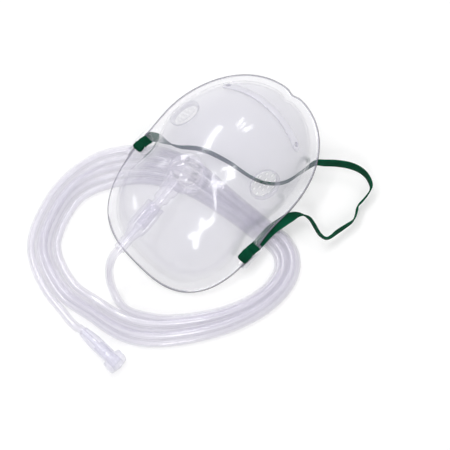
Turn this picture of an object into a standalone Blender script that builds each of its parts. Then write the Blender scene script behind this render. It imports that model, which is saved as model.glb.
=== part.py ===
"""Clear vinyl oxygen face mask, lying dome up with its nose end on its own coiled supply tube.

World frame: metres, +Z up, floor at z = 0. The mask's long axis runs chin to nose along +Y, and +X is
its right-hand side seen from above. The origin is on the floor, under the middle of the mask and strap.
Mask frame: the same axes before the mask is tipped, with z = 0 on the plane that meets the face.
"""

import math

import bmesh
import bpy
import numpy as np
from mathutils import Matrix, Vector

MM = 0.001
GAP = 0.3 * MM  # between pieces that touch
STEP = 0.5 * MM  # for slopes taken across the dome
SIDES = 32  # of round outsides
BORE_SIDES = 24

# Shell: one vacuum-soft vinyl moulding, an oval with a blunter chin end
HALF_WIDTH = 49.7 * MM
HALF_LENGTH = 69.0 * MM
NOSE_ROUNDNESS = 2.25  # exponents of the oval, 2 is an ellipse
CHIN_ROUNDNESS = 2.95
WAIST_DEPTH = 0.022  # share of the width lost at the waist
WAIST_Y = -2.0 * MM
WAIST_SPAN = 17.0 * MM
NOTCH_DEPTH = 1.5 * MM  # crease in the rim at the bridge of the nose
NOTCH_SPAN = 3.2 * MM
# How the soft rim lies off its oval: waves round it, and the size of each one's cosine and sine
RIM_WAVES = (
    (1, -1.56 * MM, -0.25 * MM),
    (2, -0.54 * MM, -0.50 * MM),
    (3, -1.10 * MM, 0.38 * MM),
)
WALL = 1.3 * MM
FLANGE_WIDTH = 4.6 * MM
FLANGE_THICK = 1.4 * MM
BEAD_HEIGHT = 2.0 * MM
BEAD_WIDTH = 1.3 * MM
BEAD_ROUND = 0.4 * MM

# Dome: heights along the ridge, and how squarely it rises
NOSE_HEIGHT = 50.0 * MM
CHIN_HEIGHT = 39.0 * MM
RIDGE_FROM_Y = -38.0 * MM
RIDGE_TO_Y = 20.0 * MM
VALLEY_DEPTH = 3.5 * MM
VALLEY_Y = -24.0 * MM
VALLEY_SPAN = 12.0 * MM
SIDE_DENT = 0.12  # share of the width that the dome loses low down between its two lobes
DENT_Y = -16.0 * MM
DENT_SPAN = 15.0 * MM
DOME_SQUARENESS = 2.3
DOME_RISE = 0.58
SLUMP = -0.11  # how far the soft dome's top has sunk to the left, as a share of its height
SLUMP_ALL_Y = -12.0 * MM  # and fully so up to here, fading out towards the nose
SLUMP_NONE_Y = 32.0 * MM
AROUND = 88
DOME_RINGS = 15

# Inlet: a moulded collar that carries the elbow connector
PORT_Y = -13.0 * MM
PORT_LEAN = 10.5  # degrees that the collar's axis leans to the chin
COLLAR_RADIUS = 12.0 * MM
COLLAR_RISE = 5.0 * MM  # above the ridge
COLLAR_DEPTH = 9.0 * MM
PLUG_RADIUS = 8.2 * MM
PLUG_LENGTH = 7.5 * MM
DISC_RADIUS = 11.2 * MM
DISC_THICK = 1.7 * MM
HUB_RADIUS = 7.0 * MM
HUB_HEIGHT = 13.5 * MM
HUB_BORE = 5.2 * MM
HUB_CROWN = 2.4 * MM  # rounding of its top edge
HUB_CORE = 3.5 * MM  # radius of the rod that fills the hub before it is bored
RIB_COUNT = 6
RIB_REACH = 3.2 * MM
RIB_THICK = 1.2 * MM
RIB_HEIGHT = 6.5 * MM
NIPPLE_Z = 7.4 * MM  # height of the nipple's axis over the collar's face
NIPPLE_ROOT = 5.4 * MM
NIPPLE_STEP = 4.5 * MM
NIPPLE_TIP = 3.4 * MM
NIPPLE_BORE = 1.9 * MM
STEP_AT = 14.5 * MM
STEP_END = 20.5 * MM
NIPPLE_END = 38.0 * MM
BARB_RISE = 0.5 * MM
BARB_LENGTH = 4.0 * MM
BARB_RAMP = 1.0 * MM

# Exhalation vents: a raised disc with round holes on each side of the nose
VENT_X = 31.0 * MM
VENT_Y = 13.0 * MM
VENT_RADIUS = 9.5 * MM
VENT_RAISE = 1.2 * MM
VENT_ROOT = 3.2 * MM
VENT_HOLE = 1.15 * MM
VENT_RINGS = ((1, 0.0), (6, 0.34), (10, 0.72))  # holes in each ring, and its share of the disc's radius

# Nose clip: a soft metal strip held on two moulded studs
CLIP_HALF_SPAN = 29.0 * MM
CLIP_END_Y = 41.0 * MM
CLIP_BOW = 7.2 * MM
CLIP_WIDTH = 5.0 * MM
CLIP_THICK = 0.8 * MM
CLIP_STATIONS = 30
CLIP_END_SHARE = 0.4  # width left at the rounded end
STUD_INSET = 3.0 * MM  # from the strip's end, measured across the mask
STUD_RADIUS = 1.2 * MM
STUD_RISE = 2.0 * MM

# Ears and elastic strap
EAR_Y = {-1: -16.5 * MM, 1: -21.3 * MM}  # the soft rim has shifted a little between its two ears
EAR_PAST = 2.8 * MM  # beyond the rim
EAR_LENGTH = 17.5 * MM
EAR_THICK = 1.4 * MM
EAR_LIFT = 0.2 * MM  # of its underside over the face plane
EAR_ROUND = 2.0 * MM
EAR_ROOT = 6.2 * MM  # from the ear's edge to its root in the flange
SLOT_LENGTH = 7.6 * MM
SLOT_WIDTH = 4.4 * MM
SLOT_INSET = 1.2 * MM  # ear left outside the slot
BRIDGE = 1.8 * MM  # ear left beyond the slot, on the nose side
STRAP_WIDTH = 6.5 * MM
STRAP_THICK = 0.9 * MM
STOP_WIDTH = 6.8 * MM
STOP_LENGTH = {-1: 5.0 * MM, 1: 7.8 * MM}  # the folded end at the left ear is the shorter
STOP_THICK = 3.2 * MM
STOP_ROUND = 0.8 * MM  # rounding of the folded end, and its distance from the slot
STRAP_SLACK = 0.15 * MM  # how far the strap hangs off the ear, and the ramp down from its stop
STRAP_STEP = 2.6 * MM
STRAP_BEVEL = 0.25  # share of its thickness

# Supply tube
TUBE_RADIUS = 2.5 * MM
TUBE_STEP = 2 * 2 * TUBE_RADIUS
CUFF_START = 24.0 * MM  # from the hub's axis, along the nipple
CUFF_LENGTH = 33.0 * MM
CUFF_MOUTH = 5.8 * MM
CUFF_WAIST = 5.0 * MM
CUFF_TAIL = 3.2 * MM
CUFF_LIP = 2.2 * MM
CUFF_GRIP_FROM = 3.2 * MM
CUFF_GRIP_TO = 20.5 * MM
CUFF_SHOULDER = 15.0 * MM
CUFF_NECK = 25.0 * MM
CUFF_GRIPS = 8
CUFF_GRIP_RISE = 0.5 * MM
CUFF_GRIP_THICK = 0.8 * MM
CUFF_BORE = 1.5 * MM
SOCKET_SPARE = 1.0 * MM  # socket beyond the nipple's end
SOCKET_CONE = 2.0 * MM  # length over which it narrows to the bore
BEVEL = 0.4 * MM  # broken edges of the elbow and both cuffs
FAR_LENGTH = 30.0 * MM
FAR_BODY = 4.1 * MM
FAR_GRIP = 7.2 * MM
FAR_GRIP_LENGTH = 6.5 * MM
FAR_GRIP_FLATS = 6
FAR_BORE = 3.2 * MM
FAR_MOUTH_DEPTH = 6.0 * MM
FAR_SEAT = 12.5 * MM  # where the wide bore narrows to the tube's own
# The grip ring's outline: shares of its length and of its radius, with the groove round its middle
FAR_GRIP_SHAPE = (
    (0.0, 0.78),
    (0.15, 0.98),
    (0.45, 1.0),
    (0.5, 0.93),
    (0.6, 0.93),
    (0.65, 1.0),
    (0.9, 0.98),
    (1.0, 0.88),
)

# Where things lie
MASK_PITCH = 10.8  # degrees that the nose end is raised
MASK_ROLL = 2.0  # degrees that the left side is raised
MASK_YAW = 0.8  # degrees that the nose end is turned to the left
MASK_X = -12.2 * MM
MASK_Y = 0.3 * MM

# The coil's bundle of turns on the floor: x, y, half its width and its height, going round
COIL_BUNDLE = (
    (-59.8, -99.5, 7.9, 9.4),
    (-72.4, -72.4, 9.5, 9.2),
    (-72.8, -54.0, 11.0, 8.4),
    (-65.7, -35.4, 13.0, 5.4),
    (-49.7, -17.7, 13.0, 5.4),
    (-26.9, -7.5, 11.0, 7.0),
    (1.1, -4.0, 8.5, 9.2),
    (26.4, -2.2, 7.8, 9.4),
    (41.8, -0.8, 7.5, 9.4),
    (53.3, -7.0, 7.5, 9.4),
    (58.4, -20.7, 7.6, 9.4),
    (56.6, -39.9, 7.8, 9.4),
    (46.3, -63.4, 8.6, 9.0),
    (27.4, -87.9, 9.8, 8.0),
    (8.8, -101.6, 10.2, 7.0),
    (-10.7, -108.0, 9.2, 8.0),
    (-32.2, -111.0, 8.8, 8.8),
)
COIL_STATIONS = 72
COIL_SIDES = 14
COIL_SQUARENESS = 0.7  # exponent of its section, 1 is an ellipse
COIL_STEP = 4.0 * MM

# The two loose ends of the tube, from the mask's cuff to the coil and from the coil to the far cuff
LEAD_ROUTE = (
    (-15.4, -83.0, 39.0),
    (-14.8, -86.0, 31.0),
    (-13.8, -88.2, 21.5),
    (-11.6, -90.0, 13.0),
    (-7.6, -91.4, 6.6),
    (-2.6, -93.1, 3.2),
)
TAIL_ROUTE = (
    (-13.2, -121.2, 2.9),
    (-9.6, -120.6, 3.5),
)
FAR_CUFF_FROM = (-5.2, -119.9, 4.6)
FAR_CUFF_HEADING = -0.5  # degrees from +X

# The strap's free stretch, in world millimetres: x, y, z of its middle and its lean in degrees, where
# 0 lies flat and 90 stands on edge
STRAP_ROUTE = (
    (-56.6, -4.8, 11.2, 20.0),
    (-53.0, -3.6, 10.0, 46.0),
    (-48.6, -1.8, 9.0, 70.0),
    (-43.8, 0.8, 8.3, 80.0),
    (-39.7, 4.8, 7.2, 86.0),
    (-35.2, 8.6, 5.8, 88.0),
    (-28.6, 11.8, 4.9, 90.0),
    (-15.8, 15.2, 4.4, 88.0),
    (-0.5, 17.4, 4.4, 84.0),
    (10.1, 21.6, 4.8, 82.0),
    (17.0, 29.2, 5.4, 84.0),
    (19.8, 39.6, 6.4, 84.0),
    (22.2, 49.2, 8.4, 96.0),
    (26.7, 53.5, 9.0, 103.0),
    (32.6, 58.5, 9.4, 104.0),
    (38.8, 62.5, 9.4, 104.0),
    (45.2, 64.9, 8.8, 100.0),
    (51.0, 64.9, 8.0, 97.0),
    (56.0, 62.7, 7.0, 95.0),
    (57.9, 59.2, 6.2, 95.0),
    (58.6, 53.3, 5.6, 95.0),
    (58.8, 48.0, 5.4, 95.0),
    (61.0, 44.2, 5.4, 95.0),
    (63.0, 39.1, 5.6, 95.0),
    (62.1, 32.8, 6.0, 89.0),
    (61.0, 26.9, 6.6, 86.0),
    (60.3, 21.5, 7.2, 92.0),
    (58.6, 18.7, 7.8, 99.0),
    (54.5, 18.2, 8.6, 91.0),
    (49.2, 19.7, 9.4, 88.0),
    (44.2, 20.8, 10.2, 94.0),
    (40.1, 19.6, 11.2, 112.0),
    (37.3, 16.8, 11.9, 138.0),
    (35.6, 12.4, 12.2, 168.0),
    (34.0, 6.0, 11.7, 180.0),
    (32.6, -1.0, 10.5, 180.0),
)


def material(name, colour, roughness, alpha=1.0, metallic=0.0):
    found = bpy.data.materials.get(name)
    if found:
        return found
    made = bpy.data.materials.new(name)
    made.use_nodes = True
    shader = made.node_tree.nodes["Principled BSDF"]
    shader.inputs["Base Color"].default_value = (*colour, 1.0)
    shader.inputs["Roughness"].default_value = roughness
    shader.inputs["Metallic"].default_value = metallic
    shader.inputs["Alpha"].default_value = alpha
    return made


def clear_vinyl():
    return material("clear_vinyl", (0.80, 0.80, 0.86), 0.12, alpha=0.45)


def clear_styrene():
    return material("clear_styrene", (0.86, 0.87, 0.91), 0.18, alpha=0.7)


def tube_vinyl():
    return material("tube_vinyl", (0.82, 0.79, 0.88), 0.2, alpha=0.7)


def clip_metal():
    return material("clip_metal", (0.78, 0.78, 0.82), 0.35, metallic=0.9)


def green_elastic():
    return material("green_elastic", (0.0, 0.11, 0.05), 0.75)


def add_object(name, mesh, look=None, parent=None, place=None, smooth=40.0):
    made = bpy.data.objects.new(name, mesh)
    bpy.context.scene.collection.objects.link(made)
    made.parent = parent
    if place is not None:
        made.matrix_local = place
    if look:
        mesh.materials.append(look)
    mesh.shade_smooth()
    mesh.set_sharp_from_angle(angle=math.radians(smooth))
    return made


def mesh_of(name, points, faces):
    mesh = bpy.data.meshes.new(name)
    mesh.from_pydata([tuple(p) for p in points], [], faces)
    shape = bmesh.new()
    shape.from_mesh(mesh)
    bmesh.ops.recalc_face_normals(shape, faces=shape.faces)
    shape.to_mesh(mesh)
    shape.free()
    return mesh


def loft(name, rings, start=None, end=None, ring_closed=False):
    """Skin over rings of equal length; an end is capped with one face, or drawn to the point given."""
    count = len(rings[0])
    points = [p for ring in rings for p in ring]
    faces = []
    last = len(rings) if ring_closed else len(rings) - 1
    for i in range(last):
        for j in range(count):
            k = (j + 1) % count
            here, there = i * count, (i + 1) % len(rings) * count
            faces.append((here + j, here + k, there + k, there + j))
    if not ring_closed:
        for base, tip in ((0, start), ((len(rings) - 1) * count, end)):
            if tip is None:
                faces.append(tuple(base + j for j in range(count)))
            else:
                points.append(tip)
                faces += [(base + j, base + (j + 1) % count, len(points) - 1) for j in range(count)]
    return mesh_of(name, points, faces)


def turned(name, profile, sides):
    """Closed solid turned about +Z from a closed profile of (radius, z), clear of the axis."""
    angles = [2 * math.pi * i / sides for i in range(sides)]
    rings = [[(r * math.cos(a), r * math.sin(a), z) for r, z in profile] for a in angles]
    return loft(name, rings, ring_closed=True)


def rod(name, radius, low, high, sides=SIDES):
    angles = [2 * math.pi * i / sides for i in range(sides)]
    rings = [[(radius * math.cos(a), radius * math.sin(a), z) for a in angles] for z in (low, high)]
    return loft(name, rings)


def axes_at(origin, along, side=Vector((1, 0, 0))):
    """Matrix whose +Z runs along a direction, with +X as near as it can be to side."""
    z = Vector(along).normalized()
    y = z.cross(side).normalized()
    x = y.cross(z)
    turn = Matrix((x, y, z)).transposed().to_4x4()
    return Matrix.Translation(Vector(origin)) @ turn


def combine(target, tool, operation):
    tool.hide_render = True
    tool.display_type = "WIRE"
    step = target.modifiers.new(tool.name, "BOOLEAN")
    step.object = tool
    step.operation = operation
    step.solver = "EXACT"


def smooth_step(low, high, value):
    share = min(max((value - low) / (high - low), 0.0), 1.0)
    return share * share * (3 - 2 * share)


def bell(value, middle, span):
    return math.exp(-(((value - middle) / span) ** 2))


def outline_radius(angle, inset):
    """Distance from the mask's middle to its outline, drawn in by inset."""
    across, along = math.cos(angle), math.sin(angle)
    power = NOSE_ROUNDNESS if along > 0 else CHIN_ROUNDNESS
    x_share = abs(across) / (HALF_WIDTH - inset)
    y_share = abs(along) / (HALF_LENGTH - inset)
    radius = (x_share**power + y_share**power) ** (-1 / power)
    radius *= 1 - WAIST_DEPTH * bell(radius * along, WAIST_Y, WAIST_SPAN) * across**2
    if along > 0:
        radius -= NOTCH_DEPTH * bell(radius * across, 0.0, NOTCH_SPAN)
    for count, cosine, sine in RIM_WAVES:
        radius += cosine * math.cos(count * angle) + sine * math.sin(count * angle)
    return radius


def dome_radius(angle, inset):
    """The foot of the dome: the outline inside the flange, dented between the two lobes."""
    radius = outline_radius(angle, FLANGE_WIDTH + inset)
    return radius * (1 - SIDE_DENT * bell(radius * math.sin(angle), DENT_Y, DENT_SPAN) * math.cos(angle) ** 2)


def ridge_height(y):
    rise = smooth_step(RIDGE_FROM_Y, RIDGE_TO_Y, y)
    return CHIN_HEIGHT + (NOSE_HEIGHT - CHIN_HEIGHT) * rise - VALLEY_DEPTH * bell(y, VALLEY_Y, VALLEY_SPAN)


def dome_height(x, y, inset=0.0):
    """Height of the dome over the face plane, outside, or inside when inset is the wall."""
    share = min(math.hypot(x, y) / dome_radius(math.atan2(y, x), inset), 1.0)
    return FLANGE_THICK + (ridge_height(y) - FLANGE_THICK - inset) * (1 - share**DOME_SQUARENESS) ** DOME_RISE


def slumped(x, y, z):
    share = 1 - smooth_step(SLUMP_ALL_Y, SLUMP_NONE_Y, y)
    return Vector((x + share * SLUMP * z * z / NOSE_HEIGHT, y, z))


def dome_point(x, y):
    return slumped(x, y, dome_height(x, y))


def dome_normal(x, y):
    across = dome_point(x + STEP, y) - dome_point(x - STEP, y)
    along = dome_point(x, y + STEP) - dome_point(x, y - STEP)
    return across.cross(along).normalized()


def flat_ring(radius_at, inset, z):
    angles = [2 * math.pi * i / AROUND for i in range(AROUND)]
    return [(radius_at(a, inset) * math.cos(a), radius_at(a, inset) * math.sin(a), z) for a in angles]


def dome_foot(inset, z=FLANGE_THICK):
    return [slumped(*spot) for spot in flat_ring(dome_radius, inset, z)]


def dome_rings(inset):
    rings = []
    for i in range(1, DOME_RINGS):
        share = math.cos(i / DOME_RINGS * math.pi / 2) ** (2 / DOME_SQUARENESS)
        flat = flat_ring(dome_radius, inset, 0.0)
        spots = [(x * share, y * share) for x, y, _ in flat]
        rings.append([slumped(x, y, dome_height(x, y, inset)) for x, y in spots])
    return rings


def outer_form():
    """The outside of the shell as one solid: beaded flange and dome, flat underneath."""
    rings = [
        flat_ring(outline_radius, BEAD_ROUND, 0.0),
        flat_ring(outline_radius, 0.0, BEAD_ROUND),
        flat_ring(outline_radius, 0.0, BEAD_HEIGHT - BEAD_ROUND),
        flat_ring(outline_radius, BEAD_ROUND, BEAD_HEIGHT),
        flat_ring(outline_radius, BEAD_WIDTH - BEAD_ROUND, BEAD_HEIGHT),
        flat_ring(outline_radius, BEAD_WIDTH, FLANGE_THICK),
        dome_foot(0.0),
        *dome_rings(0.0),
    ]
    return loft("outer_form", rings, end=dome_point(0.0, 0.0))


def inner_form():
    """The hollow of the shell, reaching down past the face plane."""
    rings = [
        dome_foot(WALL, -3 * WALL),
        dome_foot(WALL),
        *dome_rings(WALL),
    ]
    return loft("inner_form", rings, end=slumped(0.0, 0.0, dome_height(0.0, 0.0, WALL)))


def port_axes():
    lean = math.radians(PORT_LEAN)
    along = (0.0, -math.sin(lean), math.cos(lean))
    top = slumped(0.0, PORT_Y, ridge_height(PORT_Y) + COLLAR_RISE)
    return axes_at(top, along)


def vent_axes(side):
    x = side * VENT_X
    return axes_at(dome_point(x, VENT_Y), dome_normal(x, VENT_Y))


def vent_holes():
    """All the holes of one vent, as one mesh of separate drills through its disc."""
    shape = bmesh.new()
    for count, share in VENT_RINGS:
        for i in range(count):
            angle = 2 * math.pi * (i + 0.5 * (share > 0.5)) / count
            reach = share * VENT_RADIUS
            place = Matrix.Translation((reach * math.cos(angle), reach * math.sin(angle), 0))
            bmesh.ops.create_cone(
                shape, cap_ends=True, segments=8, radius1=VENT_HOLE, radius2=VENT_HOLE,
                depth=6 * VENT_ROOT, matrix=place,
            )
    mesh = bpy.data.meshes.new("vent_holes")
    shape.to_mesh(mesh)
    shape.free()
    return mesh


def ear_reach(side):
    """How far the ear's edge is from the mask's middle."""
    angle = math.atan2(EAR_Y[side], side * HALF_WIDTH)
    return abs(outline_radius(angle, 0.0) * math.cos(angle)) + EAR_PAST


def ear_plate(side):
    """A rounded plate in the face plane, from inside the flange out to the ear's edge."""
    width = EAR_ROOT
    inner = ear_reach(side) - width
    corners = []
    for cx, cy, first in ((1, 1, 0), (-1, 1, 90), (-1, -1, 180), (1, -1, 270)):
        middle_x = inner + width / 2 + cx * (width / 2 - EAR_ROUND)
        middle_y = EAR_Y[side] + cy * (EAR_LENGTH / 2 - EAR_ROUND)
        for turn in (0, 30, 60, 90):
            angle = math.radians(first + turn)
            corners.append((middle_x + EAR_ROUND * math.cos(angle), middle_y + EAR_ROUND * math.sin(angle)))
    rings = [[(side * x, y, z) for x, y in corners] for z in (EAR_LIFT, EAR_LIFT + EAR_THICK)]
    return loft("ear", rings)


def slot_middle(side):
    y = EAR_Y[side] + EAR_LENGTH / 2 - BRIDGE - SLOT_WIDTH / 2
    x = ear_reach(side) - SLOT_INSET - SLOT_LENGTH / 2
    return side * x, y


def ear_slot(side):
    x, y = slot_middle(side)
    half_x, half_y = SLOT_LENGTH / 2, SLOT_WIDTH / 2
    corners = [(x + a * half_x, y + b * half_y) for a, b in ((-1, -1), (1, -1), (1, 1), (-1, 1))]
    return loft("slot", [[(cx, cy, z) for cx, cy in corners] for z in (-3 * EAR_THICK, 3 * EAR_THICK)])


def make_shell(mask):
    shell = add_object("mask_shell", outer_form(), clear_vinyl(), mask)
    port = port_axes()
    collar = rod("collar", COLLAR_RADIUS, -COLLAR_DEPTH, 0.0)
    joined = [("collar_form", collar, port)]
    for side, name in ((-1, "left"), (1, "right")):
        boss = rod("vent_boss", VENT_RADIUS, -VENT_ROOT, VENT_RAISE)
        joined.append((f"vent_form_{name}", boss, vent_axes(side)))
        joined.append((f"ear_form_{name}", ear_plate(side), Matrix()))
        x = side * (CLIP_HALF_SPAN - STUD_INSET)
        stud = rod("stud", STUD_RADIUS, -STUD_RISE, STUD_RISE, 10)
        joined.append((f"stud_form_{name}", stud, clip_axes(x)))
    for name, mesh, place in joined:
        combine(shell, add_object(name, mesh, parent=mask, place=place), "UNION")
    removed = [
        ("hollow_cutter", inner_form(), Matrix()),
        ("port_cutter", rod("bore", PLUG_RADIUS + GAP, -4 * COLLAR_DEPTH, COLLAR_DEPTH), port),
    ]
    for side, name in ((-1, "left"), (1, "right")):
        removed.append((f"vent_cutter_{name}", vent_holes(), vent_axes(side)))
        removed.append((f"slot_cutter_{name}", ear_slot(side), Matrix()))
    for name, mesh, place in removed:
        combine(shell, add_object(name, mesh, parent=mask, place=place), "DIFFERENCE")
    return shell


def clip_y(x):
    return CLIP_END_Y + CLIP_BOW * (1 - (x / CLIP_HALF_SPAN) ** 2)


def clip_axes(x):
    return axes_at(dome_point(x, clip_y(x)), dome_normal(x, clip_y(x)))


def make_clip(mask):
    rings = []
    for i in range(CLIP_STATIONS + 1):
        x = CLIP_HALF_SPAN * (2 * i / CLIP_STATIONS - 1)
        up = dome_normal(x, clip_y(x))
        here = dome_point(x, clip_y(x))
        along = dome_point(x + STEP, clip_y(x + STEP)) - dome_point(x - STEP, clip_y(x - STEP))
        across = up.cross(along).normalized()
        from_end = min((CLIP_HALF_SPAN - abs(x)) / (CLIP_WIDTH / 2), 1.0)
        half = CLIP_WIDTH / 2 * max(math.sqrt(1 - (1 - from_end) ** 2), CLIP_END_SHARE)
        low, high = here + up * GAP, here + up * (GAP + CLIP_THICK)
        rings.append([low - across * half, low + across * half, high + across * half, high - across * half])
    clip = add_object("nose_clip", loft("nose_clip", rings), clip_metal(), mask)
    for side, name in ((-1, "left"), (1, "right")):
        place = clip_axes(side * (CLIP_HALF_SPAN - STUD_INSET))
        drill = rod("stud_hole", STUD_RADIUS + GAP, -STUD_RISE, 2 * STUD_RISE, 10)
        combine(clip, add_object(f"clip_cutter_{name}", drill, parent=mask, place=place), "DIFFERENCE")
    return clip


def nipple_axes():
    """The nipple's axis, at right angles to the port's, with +Z running out to the chin."""
    return Matrix.Translation((0, 0, NIPPLE_Z)) @ axes_at((0, 0, 0), (0, -1, 0)).to_3x3().to_4x4()


def make_connector(mask):
    place = port_axes() @ Matrix.Translation((0, 0, GAP))
    hub_profile = [
        (HUB_BORE / 2, -PLUG_LENGTH),
        (PLUG_RADIUS - BEVEL, -PLUG_LENGTH),
        (PLUG_RADIUS, -PLUG_LENGTH + 2 * BEVEL),
        (PLUG_RADIUS, 0.0),
        (DISC_RADIUS, 0.0),
        (DISC_RADIUS, DISC_THICK - BEVEL),
        (DISC_RADIUS - BEVEL, DISC_THICK),
        (HUB_RADIUS, DISC_THICK),
        (HUB_RADIUS, HUB_HEIGHT - HUB_CROWN),
        (HUB_RADIUS - HUB_CROWN / 3, HUB_HEIGHT - HUB_CROWN / 3),
        (HUB_RADIUS - HUB_CROWN, HUB_HEIGHT),
        (HUB_BORE / 2, HUB_HEIGHT),
    ]
    hub = add_object("inlet_elbow", turned("inlet_elbow", hub_profile, SIDES), clear_styrene(), mask, place)
    core = rod("core", HUB_CORE, -PLUG_LENGTH, HUB_HEIGHT, BORE_SIDES)
    joined = [("core_form", core, Matrix())]
    steps = (
        (0.0, NIPPLE_ROOT),
        (STEP_AT, NIPPLE_ROOT),
        (STEP_AT, NIPPLE_STEP),
        (STEP_END, NIPPLE_STEP),
        (STEP_END, NIPPLE_TIP),
        (NIPPLE_END - BARB_LENGTH - BARB_RAMP, NIPPLE_TIP),
        (NIPPLE_END - BARB_LENGTH, NIPPLE_TIP + BARB_RISE),
        (NIPPLE_END, NIPPLE_TIP - BARB_RISE),
    )
    angles = [2 * math.pi * i / BORE_SIDES for i in range(BORE_SIDES)]
    rings = [[(r * math.cos(a), r * math.sin(a), z) for a in angles] for z, r in steps]
    joined.append(("nipple_form", loft("nipple", rings), nipple_axes()))
    for i in range(RIB_COUNT):
        angle = 2 * math.pi * (i + 0.5) / RIB_COUNT + math.pi / 2
        inner, foot = HUB_RADIUS - RIB_THICK, HUB_RADIUS + RIB_REACH
        outline = ((inner, DISC_THICK / 2), (foot, DISC_THICK / 2), (inner, DISC_THICK + RIB_HEIGHT))
        sides = [[(x, y, z) for x, z in outline] for y in (-RIB_THICK / 2, RIB_THICK / 2)]
        joined.append((f"rib_form_{i}", loft("rib", sides), Matrix.Rotation(angle, 4, "Z")))
    for name, mesh, local in joined:
        combine(hub, add_object(name, mesh, parent=mask, place=place @ local), "UNION")
    hub_bore = rod("hub_bore", HUB_BORE, -2 * PLUG_LENGTH, NIPPLE_Z + NIPPLE_BORE, BORE_SIDES)
    nipple_bore = rod("nipple_bore", NIPPLE_BORE, 0.0, 2 * NIPPLE_END, BORE_SIDES)
    bores = [
        ("hub_bore_cutter", hub_bore, Matrix()),
        ("nipple_bore_cutter", nipple_bore, nipple_axes()),
    ]
    for name, mesh, local in bores:
        combine(hub, add_object(name, mesh, parent=mask, place=place @ local), "DIFFERENCE")
    return hub


def cuff_axes():
    place = port_axes() @ Matrix.Translation((0, 0, GAP)) @ nipple_axes()
    return place @ Matrix.Translation((0, 0, CUFF_START))


def make_mask_cuff(mask):
    socket = NIPPLE_TIP + BARB_RISE + GAP
    socket_end = NIPPLE_END - CUFF_START + SOCKET_SPARE
    profile = [
        (socket, 0.0),
        (CUFF_MOUTH - BEVEL, 0.0),
        (CUFF_MOUTH, BEVEL),
        (CUFF_MOUTH, CUFF_LIP),
        (CUFF_WAIST + BEVEL, CUFF_GRIP_FROM),
        (CUFF_WAIST, CUFF_SHOULDER),
        (CUFF_TAIL + BEVEL, CUFF_NECK),
        (CUFF_TAIL, CUFF_LENGTH - BEVEL),
        (CUFF_TAIL - BEVEL, CUFF_LENGTH),
        (CUFF_BORE, CUFF_LENGTH),
        (CUFF_BORE, socket_end + SOCKET_CONE),
        (socket, socket_end),
    ]
    body = turned("mask_end_cuff", profile, SIDES)
    cuff = add_object("mask_end_cuff", body, tube_vinyl(), mask, cuff_axes())
    for i in range(CUFF_GRIPS):
        angle = 2 * math.pi * (i + 0.5) / CUFF_GRIPS
        outline = (
            (CUFF_WAIST - BEVEL, CUFF_GRIP_FROM),
            (CUFF_WAIST + BEVEL + CUFF_GRIP_RISE, CUFF_GRIP_FROM),
            (CUFF_TAIL + CUFF_GRIP_RISE, CUFF_GRIP_TO),
            (CUFF_TAIL, CUFF_GRIP_TO),
        )
        sides = [[(x, y, z) for x, z in outline] for y in (-CUFF_GRIP_THICK / 2, CUFF_GRIP_THICK / 2)]
        grip = loft("grip", sides)
        place = cuff_axes() @ Matrix.Rotation(angle, 4, "Z")
        combine(cuff, add_object(f"grip_form_{i}", grip, parent=mask, place=place), "UNION")
    return cuff


def through_points(points, step, closed=False):
    """Points at even steps along a smooth curve through hand-chosen points (rows of any width)."""
    rows = np.array(points, float)
    if closed:
        rows = np.vstack([rows[-1:], rows, rows[:2]])
    else:
        rows = np.vstack([2 * rows[:1] - rows[1:2], rows, 2 * rows[-1:] - rows[-2:-1]])
    fine = []
    for i in range(1, len(rows) - 2):
        a, b, c, d = rows[i - 1 : i + 3]
        for t in np.linspace(0, 1, 24, endpoint=False):
            square, cube = 2 * a - 5 * b + 4 * c - d, 3 * b - a - 3 * c + d
            fine.append((2 * b + (c - a) * t + square * t**2 + cube * t**3) / 2)
    fine.append(rows[-2])
    fine = np.array(fine)
    run = np.concatenate([[0], np.cumsum(np.linalg.norm(np.diff(fine[:, :3], axis=0), axis=1))])
    count = max(int(round(run[-1] / step)), 2)
    at = np.linspace(0, run[-1], count + 1)
    return np.array([[np.interp(s, run, fine[:, k]) for k in range(fine.shape[1])] for s in at])


def make_tube(name, points, look):
    curve = bpy.data.curves.new(name, "CURVE")
    curve.dimensions = "3D"
    curve.bevel_depth = TUBE_RADIUS
    curve.bevel_resolution = 3
    curve.use_fill_caps = True
    line = curve.splines.new("POLY")
    line.points.add(len(points) - 1)
    for point, place in zip(line.points, points, strict=True):
        point.co = (*place, 1.0)
    made = bpy.data.objects.new(name, curve)
    bpy.context.scene.collection.objects.link(made)
    curve.materials.append(look)
    return made


def make_lead(mask_matrix):
    """The tube from the mask's cuff down to the inner side of the coil."""
    cuff_end = mask_matrix @ cuff_axes() @ Matrix.Translation((0, 0, CUFF_LENGTH + GAP))
    start = cuff_end.translation
    straight = cuff_end @ Vector((0, 0, TUBE_RADIUS))
    route = [tuple(straight), *(tuple(c * MM for c in p) for p in LEAD_ROUTE)]
    return make_tube("supply_tube_lead", [tuple(start), *through_points(route, TUBE_STEP)], tube_vinyl())


def far_cuff_axes():
    """The far cuff's axis, climbing until its grip ring rests on the floor."""
    start = Vector(FAR_CUFF_FROM) * MM
    climb = math.asin((FAR_GRIP - start.z) / (FAR_LENGTH - FAR_GRIP_LENGTH / 2))
    heading = math.radians(FAR_CUFF_HEADING)
    level = math.cos(climb)
    along = (level * math.cos(heading), level * math.sin(heading), math.sin(climb))
    return axes_at(start, along, Vector((0, 0, 1)))


def make_tail():
    """The tube from the outer side of the coil to the far cuff."""
    cuff = far_cuff_axes()
    end = cuff @ Vector((0, 0, -GAP))
    before = cuff @ Vector((0, 0, -TUBE_RADIUS))
    route = [*(tuple(c * MM for c in p) for p in TAIL_ROUTE), tuple(before)]
    return make_tube("supply_tube_tail", [*through_points(route, TUBE_STEP), tuple(end)], tube_vinyl())


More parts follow.
